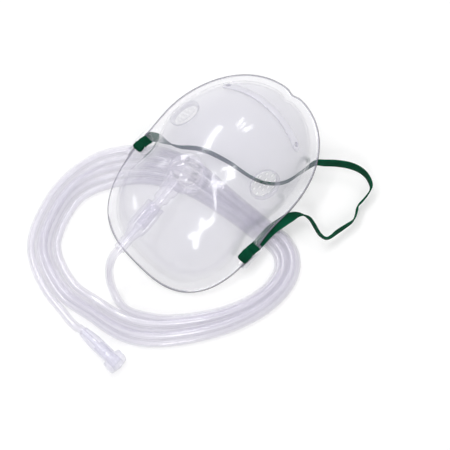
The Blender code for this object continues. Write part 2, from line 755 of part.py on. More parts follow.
def make_far_cuff():
    """The soft funnel that pushes onto the oxygen outlet, with a six-sided grip round its mouth."""
    grip_at = FAR_LENGTH - FAR_GRIP_LENGTH
    profile = [
        (CUFF_BORE, 0.0),
        (CUFF_TAIL - BEVEL, 0.0),
        (CUFF_TAIL, BEVEL),
        (FAR_BODY, FAR_LENGTH / 3),
        (FAR_BODY, FAR_LENGTH - BEVEL),
        (FAR_BORE + BEVEL, FAR_LENGTH - BEVEL),
        (FAR_BORE, FAR_SEAT + BEVEL),
        (CUFF_BORE, FAR_SEAT),
    ]
    place = far_cuff_axes()
    cuff = add_object("far_end_cuff", turned("far_end_cuff", profile, SIDES), tube_vinyl(), place=place)
    angles = [2 * math.pi * i / FAR_GRIP_FLATS for i in range(FAR_GRIP_FLATS)]
    rings = []
    for along, share in FAR_GRIP_SHAPE:
        reach, z = share * FAR_GRIP, grip_at + along * FAR_GRIP_LENGTH
        rings.append([(reach * math.cos(a), reach * math.sin(a), z) for a in angles])
    combine(cuff, add_object("grip_ring_form", loft("grip_ring", rings), place=place), "UNION")
    mouth = rod("mouth", FAR_BORE + BEVEL, FAR_LENGTH - FAR_MOUTH_DEPTH, 2 * FAR_LENGTH, BORE_SIDES)
    combine(cuff, add_object("mouth_cutter", mouth, place=place), "DIFFERENCE")
    return cuff


def make_coil():
    """The outer shape of the bundle of turns: rounded section, lying on the floor."""
    rows = [tuple(value * MM for value in row) for row in COIL_BUNDLE]
    line = through_points([(x, y, 0.0, half, high) for x, y, half, high in rows], COIL_STEP, closed=True)[:-1]
    picked = [line[int(i * len(line) / COIL_STATIONS)] for i in range(COIL_STATIONS)]
    rings = []
    for i, (x, y, _, half, high) in enumerate(picked):
        ahead, behind = picked[(i + 1) % COIL_STATIONS], picked[i - 1]
        along = Vector((ahead[0] - behind[0], ahead[1] - behind[1], 0)).normalized()
        across = along.cross(Vector((0, 0, 1)))
        ring = []
        for j in range(COIL_SIDES):
            angle = 2 * math.pi * j / COIL_SIDES
            out = math.copysign(abs(math.cos(angle)) ** COIL_SQUARENESS, math.cos(angle))
            up = math.copysign(abs(math.sin(angle)) ** COIL_SQUARENESS, math.sin(angle))
            ring.append(Vector((x, y, high / 2)) + across * half * out + Vector((0, 0, high / 2 * up)))
        rings.append(ring)
    mesh = loft("supply_tube_coil", rings, ring_closed=True)
    return add_object("supply_tube_coil", mesh, tube_vinyl())


def strap_end(side, mask_matrix):
    """The end that is threaded through an ear: rows of x, y, z, lean, width and thickness."""
    x, y = slot_middle(side)
    on_ear = BEAD_HEIGHT + GAP + STRAP_THICK / 2
    under = -GAP - STRAP_THICK / 2 - STRAP_SLACK
    stop_middle = BEAD_HEIGHT + GAP + STOP_THICK / 2
    slot_from = y - SLOT_WIDTH / 2
    slot_to = y + SLOT_WIDTH / 2
    stop_to = slot_from - STOP_ROUND
    stop_from = stop_to - STOP_LENGTH[side]
    ends = STOP_WIDTH - STOP_ROUND, STOP_THICK - STOP_ROUND
    rows = (
        (stop_from, stop_middle, *ends),
        (stop_from + STOP_ROUND, stop_middle, STOP_WIDTH, STOP_THICK),
        (stop_to - STOP_ROUND, stop_middle, STOP_WIDTH, STOP_THICK),
        (stop_to, stop_middle - STRAP_SLACK, *ends),
        (stop_to + STRAP_SLACK, on_ear, STRAP_WIDTH, STRAP_THICK),
        (slot_from + STRAP_THICK / 2, on_ear, STRAP_WIDTH, STRAP_THICK),
        ((slot_from + slot_to) / 2, (on_ear + under) / 2, STRAP_WIDTH, STRAP_THICK),
        (slot_to - STRAP_THICK / 2, under, STRAP_WIDTH, STRAP_THICK),
        (slot_to + BRIDGE, under, STRAP_WIDTH, STRAP_THICK),
    )
    placed = []
    for along, z, width, thick in rows:
        spot = mask_matrix @ Vector((x, along, z))
        placed.append((*spot, 0.0, width, thick))
    return placed


def make_strap(mask_matrix):
    left = strap_end(-1, mask_matrix)
    right = strap_end(1, mask_matrix)
    free = [(x * MM, y * MM, z * MM, lean, STRAP_WIDTH, STRAP_THICK) for x, y, z, lean in STRAP_ROUTE]
    flipped = [(*row[:3], 180.0, *row[4:]) for row in reversed(right)]
    middle = through_points([left[-1], *free, flipped[0]], STRAP_STEP)
    stations = [*left[:-1], *middle, *flipped[1:]]
    spots = [Vector(row[:3]) for row in stations]
    rings = []
    for i, row in enumerate(stations):
        along = (spots[min(i + 1, len(spots) - 1)] - spots[max(i - 1, 0)]).normalized()
        level = along.cross(Vector((0, 0, 1))).normalized()
        upright = level.cross(along)
        lean = math.radians(row[3])
        across = level * math.cos(lean) + upright * math.sin(lean)
        out = along.cross(across)
        half, thick = row[4] / 2, row[5] / 2
        bevel = STRAP_BEVEL * thick
        ring = []
        for a, b in ((1, 1), (-1, 1), (-1, -1), (1, -1)):
            pair = [(a * half, b * (thick - bevel)), (a * (half - bevel), b * thick)]
            ring += [spots[i] + across * u + out * v for u, v in (pair if a * b > 0 else pair[::-1])]
        rings.append(ring)
    return add_object("head_strap", loft("head_strap", rings), green_elastic(), smooth=50.0)


def mask_placing():
    """The mask tipped as it lies, with the lowest point of its rim on the floor."""
    turn = Matrix()
    for degrees, axis in ((MASK_YAW, "Z"), (MASK_ROLL, "Y"), (MASK_PITCH, "X")):
        turn = turn @ Matrix.Rotation(math.radians(degrees), 4, axis)
    low = min((turn @ Vector(p)).z for p in flat_ring(outline_radius, BEAD_ROUND, 0.0))
    return Matrix.Translation((MASK_X, MASK_Y, -low)) @ turn


def build():
    for old in list(bpy.data.objects):
        bpy.data.objects.remove(old, do_unlink=True)
    mask = bpy.data.objects.new("mask_frame", None)
    bpy.context.scene.collection.objects.link(mask)
    place = mask_placing()
    mask.matrix_world = place
    make_shell(mask)
    make_clip(mask)
    make_connector(mask)
    make_mask_cuff(mask)
    make_lead(place)
    make_coil()
    make_tail()
    make_far_cuff()
    make_strap(place)


build()
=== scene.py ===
"""Clear vinyl oxygen face mask lying on its own coiled supply tube: the looks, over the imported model.

World frame and mask frame are the part's own: metres, +Z up, nose end to +Y, floor at z = 0.
"""

import math

import bmesh
import bpy
import numpy as np
from mathutils import Matrix, Vector, noise


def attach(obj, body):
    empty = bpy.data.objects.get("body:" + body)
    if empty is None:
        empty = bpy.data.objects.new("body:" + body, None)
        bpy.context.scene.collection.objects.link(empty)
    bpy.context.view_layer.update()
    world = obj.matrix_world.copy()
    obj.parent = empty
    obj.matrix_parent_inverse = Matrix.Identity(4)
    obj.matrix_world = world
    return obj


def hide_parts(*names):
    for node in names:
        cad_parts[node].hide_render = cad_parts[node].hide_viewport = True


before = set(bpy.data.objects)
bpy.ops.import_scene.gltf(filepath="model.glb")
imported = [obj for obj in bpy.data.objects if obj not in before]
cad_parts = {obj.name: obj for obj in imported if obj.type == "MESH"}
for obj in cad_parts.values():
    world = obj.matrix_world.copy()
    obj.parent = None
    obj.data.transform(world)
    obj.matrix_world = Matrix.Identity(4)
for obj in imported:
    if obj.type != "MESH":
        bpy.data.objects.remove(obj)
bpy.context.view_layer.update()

MM = 0.001
GAP = 0.3 * MM

# Sizes shared with the part

HALF_WIDTH = 49.7 * MM
HALF_LENGTH = 69.0 * MM
NOSE_ROUNDNESS = 2.25
CHIN_ROUNDNESS = 2.95
WAIST_DEPTH = 0.022
WAIST_Y = -2.0 * MM
WAIST_SPAN = 17.0 * MM
NOTCH_DEPTH = 1.5 * MM
NOTCH_SPAN = 3.2 * MM
RIM_WAVES = (
    (1, -1.56 * MM, -0.25 * MM),
    (2, -0.54 * MM, -0.50 * MM),
    (3, -1.10 * MM, 0.38 * MM),
)
WALL = 1.3 * MM
FLANGE_WIDTH = 4.6 * MM
FLANGE_THICK = 1.4 * MM
BEAD_HEIGHT = 2.0 * MM
BEAD_WIDTH = 1.3 * MM
BEAD_ROUND = 0.5 * MM
NOSE_HEIGHT = 50.0 * MM
CHIN_HEIGHT = 39.0 * MM
RIDGE_FROM_Y = -38.0 * MM
RIDGE_TO_Y = 20.0 * MM
VALLEY_DEPTH = 3.5 * MM
VALLEY_Y = -24.0 * MM
VALLEY_SPAN = 12.0 * MM
SIDE_DENT = 0.12
DENT_Y = -16.0 * MM
DENT_SPAN = 15.0 * MM
DOME_SQUARENESS = 2.3
DOME_RISE = 0.58
SLUMP = -0.11
SLUMP_ALL_Y = -12.0 * MM
SLUMP_NONE_Y = 32.0 * MM

PORT_Y = -13.0 * MM
PORT_LEAN = 10.5
COLLAR_RADIUS = 12.0 * MM
COLLAR_RISE = 5.0 * MM
PLUG_RADIUS = 8.2 * MM
PLUG_LENGTH = 7.5 * MM
DISC_RADIUS = 11.2 * MM
DISC_THICK = 1.7 * MM
HUB_RADIUS = 7.0 * MM
HUB_HEIGHT = 13.5 * MM
HUB_BORE = 5.2 * MM
RIB_COUNT = 6
RIB_REACH = 3.2 * MM
RIB_THICK = 1.2 * MM
RIB_HEIGHT = 6.5 * MM
NIPPLE_Z = 7.4 * MM
NIPPLE_ROOT = 5.4 * MM
NIPPLE_STEP = 4.5 * MM
NIPPLE_TIP = 3.4 * MM
NIPPLE_BORE = 1.9 * MM
STEP_AT = 14.5 * MM
STEP_END = 20.5 * MM
NIPPLE_END = 38.0 * MM
BARB_RISE = 0.5 * MM
BARB_LENGTH = 4.0 * MM

VENT_X = 31.0 * MM
VENT_Y = 13.0 * MM
VENT_RADIUS = 9.5 * MM
VENT_RAISE = 1.2 * MM
VENT_HOLE = 1.15 * MM
VENT_RINGS = ((1, 0.0), (6, 0.34), (10, 0.72))

CLIP_HALF_SPAN = 29.0 * MM
CLIP_END_Y = 41.0 * MM
CLIP_BOW = 7.2 * MM
CLIP_WIDTH = 5.0 * MM
CLIP_THICK = 0.8 * MM
STUD_INSET = 3.0 * MM
STUD_RADIUS = 1.2 * MM
STUD_RISE = 2.0 * MM

EAR_Y = {-1: -16.5 * MM, 1: -21.3 * MM}
EAR_PAST = 2.8 * MM
EAR_LENGTH = 17.5 * MM
EAR_THICK = 1.4 * MM
EAR_LIFT = 0.2 * MM
EAR_ROUND = 2.0 * MM
EAR_ROOT = 6.2 * MM
SLOT_LENGTH = 7.6 * MM
SLOT_WIDTH = 4.4 * MM
SLOT_INSET = 1.2 * MM
SLOT_ROUND = 0.8 * MM
BRIDGE = 1.8 * MM
STRAP_WIDTH = 6.5 * MM
STRAP_THICK = 0.9 * MM
STOP_WIDTH = 6.8 * MM
STOP_LENGTH = {-1: 5.0 * MM, 1: 7.8 * MM}
STOP_THICK = 3.2 * MM
STOP_ROUND = 0.8 * MM
STRAP_SLACK = 0.15 * MM

TUBE_RADIUS = 2.5 * MM
TUBE_BORE = 1.6 * MM
CUFF_START = 24.0 * MM
CUFF_LENGTH = 33.0 * MM
CUFF_MOUTH = 5.8 * MM
CUFF_WAIST = 5.0 * MM
CUFF_TAIL = 3.2 * MM
CUFF_LIP = 2.2 * MM
CUFF_GRIP_FROM = 3.2 * MM
CUFF_GRIP_TO = 20.5 * MM
CUFF_SHOULDER = 15.0 * MM
CUFF_NECK = 25.0 * MM
CUFF_GRIPS = 8
CUFF_GRIP_RISE = 0.5 * MM
FAR_LENGTH = 30.0 * MM
FAR_BODY = 4.1 * MM
FAR_GRIP = 7.2 * MM
FAR_GRIP_LENGTH = 6.5 * MM
FAR_BORE = 3.2 * MM
FAR_MOUTH_DEPTH = 6.0 * MM
FAR_SEAT = 12.5 * MM

MASK_PITCH = 10.8
MASK_ROLL = 2.0
MASK_YAW = 0.8
MASK_X = -12.2 * MM
MASK_Y = 0.3 * MM

# x, y, half the bundle's width, going round; the path of the tube goes round the other way
COIL_BUNDLE = (
    (-59.8, -99.5, 7.9),
    (-72.4, -72.4, 9.5),
    (-72.8, -54.0, 11.0),
    (-65.7, -35.4, 13.0),
    (-49.7, -17.7, 13.0),
    (-26.9, -7.5, 11.0),
    (1.1, -4.0, 8.5),
    (26.4, -2.2, 7.8),
    (41.8, -0.8, 7.5),
    (53.3, -7.0, 7.5),
    (58.4, -20.7, 7.6),
    (56.6, -39.9, 7.8),
    (46.3, -63.4, 8.6),
    (27.4, -87.9, 9.8),
    (8.8, -101.6, 10.2),
    (-10.7, -108.0, 9.2),
    (-32.2, -111.0, 8.8),
)
LEAD_ROUTE = (
    (-15.4, -83.0, 39.0),
    (-14.8, -86.0, 31.0),
    (-13.8, -88.2, 21.5),
    (-11.6, -90.0, 13.0),
    (-7.6, -91.4, 6.6),
    (-2.6, -93.1, 3.2),
)
TAIL_ROUTE = (
    (-13.2, -121.2, 2.9),
    (-9.6, -120.6, 3.5),
)
FAR_CUFF_FROM = (-5.2, -119.9, 4.6)
FAR_CUFF_HEADING = -0.5
STRAP_ROUTE = (
    (-56.6, -4.8, 11.2, 20),
    (-53.0, -3.6, 10.0, 46),
    (-48.6, -1.8, 9.0, 70),
    (-43.8, 0.8, 8.3, 80),
    (-39.7, 4.8, 7.2, 86),
    (-35.2, 8.6, 5.8, 88),
    (-28.6, 11.8, 4.9, 90),
    (-15.8, 15.2, 4.4, 88),
    (-0.5, 17.4, 4.4, 84),
    (10.1, 21.6, 4.8, 82),
    (17.0, 29.2, 5.4, 84),
    (19.8, 39.6, 6.4, 84),
    (22.2, 49.2, 8.4, 96),
    (26.7, 53.5, 9.0, 103),
    (32.6, 58.5, 9.4, 104),
    (38.8, 62.5, 9.4, 104),
    (45.2, 64.9, 8.8, 100),
    (51.0, 64.9, 8.0, 97),
    (56.0, 62.7, 7.0, 95),
    (57.9, 59.2, 6.2, 95),
    (58.6, 53.3, 5.6, 95),
    (58.8, 48.0, 5.4, 95),
    (61.0, 44.2, 5.4, 95),
    (63.0, 39.1, 5.6, 95),
    (62.1, 32.8, 6.0, 89),
    (61.0, 26.9, 6.6, 86),
    (60.3, 21.5, 7.2, 92),
    (58.6, 18.7, 7.8, 99),
    (54.5, 18.2, 8.6, 91),
    (49.2, 19.7, 9.4, 88),
    (44.2, 20.8, 10.2, 94),
    (40.1, 19.6, 11.2, 112),
    (37.3, 16.8, 11.9, 138),
    (35.6, 12.4, 12.2, 168),
    (34.0, 6.0, 11.7, 180),
    (32.6, -1.0, 10.5, 180),
)

# Camera, floor and light

AZIMUTH = math.radians(43.7)
ELEVATION = math.radians(71.3)
DISTANCE = 0.9
TARGET = Vector((8.3, -14.4, 0.0)) * MM

FLOOR_HALF = 3.0
FLOOR_GLOW = 0.37  # what the floor gives off itself, so that it shows white
FAR_GLOW, FAR_GLOW_LESS = 0.9, 0.3  # what it gains for each metre outwards, where the lamps fade
WORLD_LIGHT = 0.45
LAMP_AIM = 0.04  # how high over the floor the lamps face

# The lamps' ends in metres along the camera's right and ahead and up, their widths and their watts.
# They stand where the mask mirrors them to the photograph's highlights.
MIRRORED_LAMPS = (
    ("blob", (0.18, 0.66, 0.72), (0.34, 0.54, 0.80), 0.17, 0.75),
    ("window", (-0.08, 0.60, 0.80), (-0.50, -0.13, 0.86), 0.11, 2.2),
    ("low", (0.07, -0.89, 0.45), (0.05, -0.64, 0.76), 0.19, 1.6),
    ("lower", (0.00, -0.65, 0.76), (-0.17, -0.70, 0.69), 0.11, 0.45),
    ("left", (-1.0, 0.12, 0.14), (-1.0, -0.22, 0.10), 0.08, 0.6),
)

scene = bpy.context.scene
scene.view_settings.view_transform = "Standard"
# Light passes many thin clear walls on its way, and goes black where it runs out of bounces.
scene.cycles.transparent_max_bounces = 96
scene.cycles.max_bounces = 12


def added(name, data):
    """A new object in the scene."""
    made = bpy.data.objects.new(name, data)
    scene.collection.objects.link(made)
    return made


def make_camera():
    data = bpy.data.cameras.new("camera")
    data.lens, data.sensor_width = 120, 36
    data.clip_start, data.clip_end = 0.05, 20
    camera = added("camera", data)
    right = Vector((math.cos(AZIMUTH), math.sin(AZIMUTH), 0))
    ahead = Vector((-math.sin(AZIMUTH), math.cos(AZIMUTH), 0))
    back = -ahead * math.cos(ELEVATION) + Vector((0, 0, 1)) * math.sin(ELEVATION)
    turn = Matrix((right, back.cross(right), back)).transposed().to_4x4()
    camera.matrix_world = Matrix.Translation(TARGET + back * DISTANCE) @ turn
    scene.camera = camera
    return right, ahead


RIGHT, AHEAD = make_camera()


def tree_of(made):
    """The tree of a material or a world, without nodes."""
    made.use_nodes = True
    made.node_tree.nodes.clear()
    return made.node_tree


def node(tree, kind, links=(), **values):
    """A node with socket values or properties by name, and links as (socket, from socket)."""
    made = tree.nodes.new(f"ShaderNode{kind}")
    for key, value in values.items():
        socket = key.replace("_", " ")
        if socket in made.inputs:
            made.inputs[socket].default_value = value
        else:
            setattr(made, key, value)
    for socket, source in links:
        tree.links.new(source, made.inputs[socket])
    return made


def math_node(tree, operation, a, b=None, c=None, clamp=False):
    made = tree.nodes.new("ShaderNodeMath")
    made.operation, made.use_clamp = operation, clamp
    for i, value in enumerate((a, b, c)):
        if value is None:
            continue
        if isinstance(value, (int, float)):
            made.inputs[i].default_value = value
        else:
            tree.links.new(value, made.inputs[i])
    return made.outputs[0]


def grain(tree, place, scale, detail=3.0, **values):
    """A noise over the coordinates given, from 0 to 1."""
    return node(tree, "TexNoise", [("Vector", place)], Scale=scale, Detail=detail, **values).outputs["Fac"]


def seen_rays(tree):
    """The light path, and 1 for rays that show a thing, straight, mirrored or through clear plastic."""
    path = node(tree, "LightPath")
    seen = math_node(tree, "MAXIMUM", path.outputs["Is Camera Ray"], path.outputs["Is Glossy Ray"])
    return path, math_node(tree, "MAXIMUM", seen, path.outputs["Is Transmission Ray"])


def make_floor():
    """A pale floor that the camera sees as white, and that keeps the object's shadow."""
    made = bpy.data.materials.new("floor")
    tree = tree_of(made)
    paper = node(tree, "TexNoise", Scale=900.0, Detail=3.0)
    bump = node(tree, "Bump", [("Height", paper.outputs["Fac"])], Strength=0.02, Distance=0.0002)
    diffuse = node(tree, "BsdfDiffuse", [("Normal", bump.outputs[0])], Color=(0.62, 0.62, 0.62, 1))
    path, seen = seen_rays(tree)
    strength = math_node(tree, "MULTIPLY", seen, FLOOR_GLOW)
    place = node(tree, "TexCoord")
    far = node(tree, "VectorMath", [("Vector", place.outputs["Object"])], operation="LENGTH")
    more = math_node(tree, "MULTIPLY_ADD", far.outputs["Value"], FAR_GLOW, -FAR_GLOW_LESS, clamp=True)
    strength = math_node(tree, "MULTIPLY_ADD", path.outputs["Is Camera Ray"], more, strength)
    glow = node(tree, "Emission", [("Strength", strength)])
    both = node(tree, "AddShader", [(0, diffuse.outputs[0]), (1, glow.outputs[0])])
    node(tree, "OutputMaterial", [("Surface", both.outputs[0])])
    mesh = bpy.data.meshes.new("floor")
    corners = [(x * FLOOR_HALF, y * FLOOR_HALF, 0) for x, y in ((-1, -1), (1, -1), (1, 1), (-1, 1))]
    mesh.from_pydata(corners, [], [(0, 1, 2, 3)])
    mesh.materials.append(made)
    added("floor", mesh)


def make_world():
    """White where it is seen, and dimmer as a light."""
    world = bpy.data.worlds.new("studio")
    tree = tree_of(world)
    _, seen = seen_rays(tree)
    strength = math_node(tree, "MULTIPLY_ADD", seen, 1 - WORLD_LIGHT, WORLD_LIGHT)
    glow = node(tree, "Background", [("Strength", strength)], Color=(1, 1, 1, 1))
    node(tree, "OutputWorld", [("Surface", glow.outputs[0])])
    scene.world = world


def studio(right, ahead, up):
    """A place from the object's middle along the camera's right and ahead, and up, in metres."""
    return RIGHT * right + AHEAD * ahead + Vector((0, 0, up))


def lamp(name, start, end, width, power, mirrored=True):
    """A soft box from one end to the other, facing the mask."""
    start, end = studio(*start), studio(*end)
    data = bpy.data.lights.new(name, "AREA")
    data.shape = "RECTANGLE"
    data.size, data.size_y = width, (end - start).length
    data.energy = power
    made = added(name, data)
    middle = (start + end) / 2
    back = (middle - studio(0, 0, LAMP_AIM)).normalized()
    side = (end - start).cross(back).normalized()
    turn = Matrix((side, back.cross(side), back)).transposed().to_4x4()
    made.matrix_world = Matrix.Translation(middle) @ turn
    made.visible_glossy = mirrored


make_floor()
make_world()
lamp("sky", (-0.7, -0.4, 2.7), (0.2, 1.0, 2.7), 1.6, 21.5, mirrored=False)
for row in MIRRORED_LAMPS:
    lamp(*row)

# Meshes

SLIVER = 0.004 * MM
AXIS_GAP = 0.01 * MM  # a turned solid stays this far off its axis


def loft(name, rings, ring_closed=False):
    """Skin over rings of equal length, with flat ends unless the last ring joins the first."""
    count = len(rings[0])
    faces = []
    last = len(rings) if ring_closed else len(rings) - 1
    for i in range(last):
        here, there = i * count, (i + 1) % len(rings) * count
        for j in range(count):
            k = (j + 1) % count
            faces.append((here + j, here + k, there + k, there + j))
    if not ring_closed:
        for base in (0, last * count):
            faces.append(tuple(range(base, base + count)))
    mesh = bpy.data.meshes.new(name)
    mesh.from_pydata([tuple(p) for ring in rings for p in ring], [], faces)
    shape = bmesh.new()
    shape.from_mesh(mesh)
    bmesh.ops.recalc_face_normals(shape, faces=shape.faces)
    shape.to_mesh(mesh)
    shape.free()
    return mesh


def angles_round(count):
    return [2 * math.pi * i / count for i in range(count)]


def polar(radius, angle, z=0.0):
    return radius * math.cos(angle), radius * math.sin(angle), z


def circle(radius, z, sides):
    return [polar(radius, a, z) for a in angles_round(sides)]


def turned(name, profile, sides):
    """Closed solid turned about +Z from a closed profile of (radius, z), clear of the axis."""
    rings = [[polar(r, a, z) for r, z in profile] for a in angles_round(sides)]
    return loft(name, rings, ring_closed=True)


def rod(name, radius, low, high, sides):
    return loft(name, [circle(radius, low, sides), circle(radius, high, sides)])


def rounded_box(middle, half, corner, radius, step):
    """Points round a box: corner is how far in the corners' centres lie, and radius how round they are."""
    ring = []
    for across, along, first in ((1, 1, 0), (-1, 1, 90), (-1, -1, 180), (1, -1, 270)):
        for turn in range(0, 91, step):
            angle = math.radians(first + turn)
            x = middle[0] + across * (half[0] - corner) + radius * math.cos(angle)
            ring.append((x, middle[1] + along * (half[1] - corner) + radius * math.sin(angle)))
    return ring


def rounded(profile, radius, steps=4):
    """A closed profile with each of its corners turned into a small arc."""
    made = []
    count = len(profile)
    for i, corner in enumerate(profile):
        here = Vector(corner)
        before, after = Vector(profile[i - 1]) - here, Vector(profile[(i + 1) % count]) - here
        reach = min(radius, 0.45 * before.length, 0.45 * after.length)
        start, end = here + before.normalized() * reach, here + after.normalized() * reach
        for k in range(steps + 1):
            t = k / steps
            made.append(tuple(start * (1 - t) ** 2 + here * 2 * t * (1 - t) + end * t**2))
    return made


def moved(mesh, matrix):
    mesh.transform(matrix)
    return mesh


def joined(name, meshes):
    """One mesh out of several that don't touch."""
    shape = bmesh.new()
    for mesh in meshes:
        shape.from_mesh(mesh)
    made = bpy.data.meshes.new(name)
    shape.to_mesh(made)
    shape.free()
    return made


def combined(mesh, tools):
    """The mesh after each (operation, tool mesh), without the cuts' sliver faces."""
    base = added("base", mesh)
    helpers = [base]
    for operation, tool in tools:
        helpers.append(added("tool", tool))
        step = base.modifiers.new("cut", "BOOLEAN")
        step.object, step.operation, step.solver = helpers[-1], operation, "EXACT"
    graph = bpy.context.evaluated_depsgraph_get()
    made = bpy.data.meshes.new_from_object(base.evaluated_get(graph))
    for helper in helpers:
        bpy.data.objects.remove(helper, do_unlink=True)
    shape = bmesh.new()
    shape.from_mesh(made)
    bmesh.ops.remove_doubles(shape, verts=shape.verts, dist=SLIVER)
    bmesh.ops.dissolve_degenerate(shape, edges=shape.edges, dist=SLIVER)
    shape.to_mesh(made)
    shape.free()
    return made


def piece(name, mesh, look, nodes=(), smooth=40.0, matrix=None):
    """A shown piece that rides on the model's one body and stands for the nodes named."""
    if matrix is not None:
        mesh.transform(matrix)
    mesh.materials.clear()
    mesh.materials.append(look)
    mesh.shade_smooth()
    mesh.set_sharp_from_angle(angle=math.radians(smooth))
    made = added(name, mesh)
    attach(made, "root")
    if nodes:
        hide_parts(*nodes)
    return made


def axes_at(origin, along, side=Vector((1, 0, 0))):
    """Matrix whose +Z runs along a direction, with +X as near as it can be to side."""
    z = Vector(along).normalized()
    y = z.cross(side).normalized()
    x = y.cross(z)
    turn = Matrix((x, y, z)).transposed().to_4x4()
    return Matrix.Translation(Vector(origin)) @ turn


def smooth_step(low, high, value):
    share = min(max((value - low) / (high - low), 0.0), 1.0)
    return share * share * (3 - 2 * share)


def bell(value, middle, span):
    return math.exp(-(((value - middle) / span) ** 2))


def between(four, share):
    """A smooth curve's place between the middle two of four rows."""
    a, b, c, d = four
    square, cube = 2 * a - 5 * b + 4 * c - d, 3 * b - a - 3 * c + d
    return (2 * b + (c - a) * share + square * share**2 + cube * share**3) / 2


def evened(rows, step, fineness):
    """Rows at even steps along the smooth curve through these, whose first three values are a place."""
    rows = np.array([tuple(row) for row in rows])
    rows = np.vstack([2 * rows[:1] - rows[1:2], rows, 2 * rows[-1:] - rows[-2:-1]])
    fine = []
    for i in range(1, len(rows) - 2):
        fine += [between(rows[i - 1 : i + 3], t) for t in np.linspace(0, 1, fineness, endpoint=False)]
    fine = np.array([*fine, rows[-2]])
    run = np.concatenate([[0], np.cumsum(np.linalg.norm(np.diff(fine[:, :3], axis=0), axis=1))])
    at = np.linspace(0, run[-1], int(round(run[-1] / step)) + 1)
    return np.stack([np.interp(at, run, fine[:, k]) for k in range(fine.shape[1])], axis=1)


# The mask's form

RIPPLE, FINE_RIPPLE = 0.40 * MM, 0.05 * MM
RIPPLE_FADES = 6
RIM_SAMPLES = 88
RIM_EDGE = 0.4 * MM


def outline_radius(angle, inset):
    across, along = math.cos(angle), math.sin(angle)
    power = NOSE_ROUNDNESS if along > 0 else CHIN_ROUNDNESS
    x_share = abs(across) / (HALF_WIDTH - inset)
    y_share = abs(along) / (HALF_LENGTH - inset)
    radius = (x_share**power + y_share**power) ** (-1 / power)
    radius *= 1 - WAIST_DEPTH * bell(radius * along, WAIST_Y, WAIST_SPAN) * across**2
    if along > 0:
        radius -= NOTCH_DEPTH * bell(radius * across, 0.0, NOTCH_SPAN)
    for count, cosine, sine in RIM_WAVES:
        radius += cosine * math.cos(count * angle) + sine * math.sin(count * angle)
    return radius


def dome_radius(angle, inset):
    radius = outline_radius(angle, FLANGE_WIDTH + inset)
    dent = SIDE_DENT * bell(radius * math.sin(angle), DENT_Y, DENT_SPAN) * math.cos(angle) ** 2
    return radius * (1 - dent)


def ridge_height(y):
    rise = smooth_step(RIDGE_FROM_Y, RIDGE_TO_Y, y)
    return CHIN_HEIGHT + (NOSE_HEIGHT - CHIN_HEIGHT) * rise - VALLEY_DEPTH * bell(y, VALLEY_Y, VALLEY_SPAN)


def ripple(x, y):
    """The slight unevenness of a soft moulded wall, the same on both its faces."""
    spot = Vector((x * 38.0, y * 30.0, 3.7))
    fine = Vector((x * 120.0, y * 95.0, 1.3))
    return RIPPLE * noise.noise(spot) + FINE_RIPPLE * noise.noise(fine)


def dome_height(x, y, inset=0.0):
    share = min(math.hypot(x, y) / dome_radius(math.atan2(y, x), inset), 1.0)
    rise = (ridge_height(y) - FLANGE_THICK - inset) * (1 - share**DOME_SQUARENESS) ** DOME_RISE
    return FLANGE_THICK + rise + ripple(x, y) * min((1 - share) * RIPPLE_FADES, 1.0)


def slumped(x, y, z):
    share = 1 - smooth_step(SLUMP_ALL_Y, SLUMP_NONE_Y, y)
    return Vector((x + share * SLUMP * z * z / NOSE_HEIGHT, y, z))


def dome_point(x, y, inset=0.0):
    return slumped(x, y, dome_height(x, y, inset))


def dome_normal(x, y):
    step = 0.5 * MM
    across = dome_point(x + step, y) - dome_point(x - step, y)
    along = dome_point(x, y + step) - dome_point(x, y - step)
    return across.cross(along).normalized()


def port_axes():
    lean = math.radians(PORT_LEAN)
    along = (0.0, -math.sin(lean), math.cos(lean))
    return axes_at(slumped(0.0, PORT_Y, ridge_height(PORT_Y) + COLLAR_RISE), along)


def vent_axes(side):
    x = side * VENT_X
    return axes_at(dome_point(x, VENT_Y), dome_normal(x, VENT_Y))


def clip_y(x):
    return CLIP_END_Y + CLIP_BOW * (1 - (x / CLIP_HALF_SPAN) ** 2)


def clip_axes(x):
    return axes_at(dome_point(x, clip_y(x)), dome_normal(x, clip_y(x)))


def nipple_axes():
    return axes_at((0, 0, NIPPLE_Z), (0, -1, 0))


def elbow_axes():
    return port_axes() @ Matrix.Translation((0, 0, GAP))


def cuff_axes():
    return elbow_axes() @ nipple_axes() @ Matrix.Translation((0, 0, CUFF_START))


def mask_placing():
    """From the mask's own frame to the world: tilted, with the lowest place of its rim on the floor."""
    turn = Matrix()
    for degrees, axis in ((MASK_YAW, "Z"), (MASK_ROLL, "Y"), (MASK_PITCH, "X")):
        turn = turn @ Matrix.Rotation(math.radians(degrees), 4, axis)
    low = 0.0
    for a in angles_round(RIM_SAMPLES):
        low = min(low, (turn @ Vector(polar(outline_radius(a, RIM_EDGE), a))).z)
    return Matrix.Translation((MASK_X, MASK_Y, -low)) @ turn


MASK = mask_placing()

# Materials

SQUARE_MIRROR = 0.04  # what a face seen square on reflects, the same from inside the wall
# The bead's outer face is painted nearly opaque and dark: a painted shade line along the rim, as clear
# vinyl shows at a thick edge.
BEAD_DENSITY = 0.95
BEAD_SHADE = 0.05
CORD_PITCH, WEFT_PITCH = 0.72, 0.62  # of the elastic, in millimetres


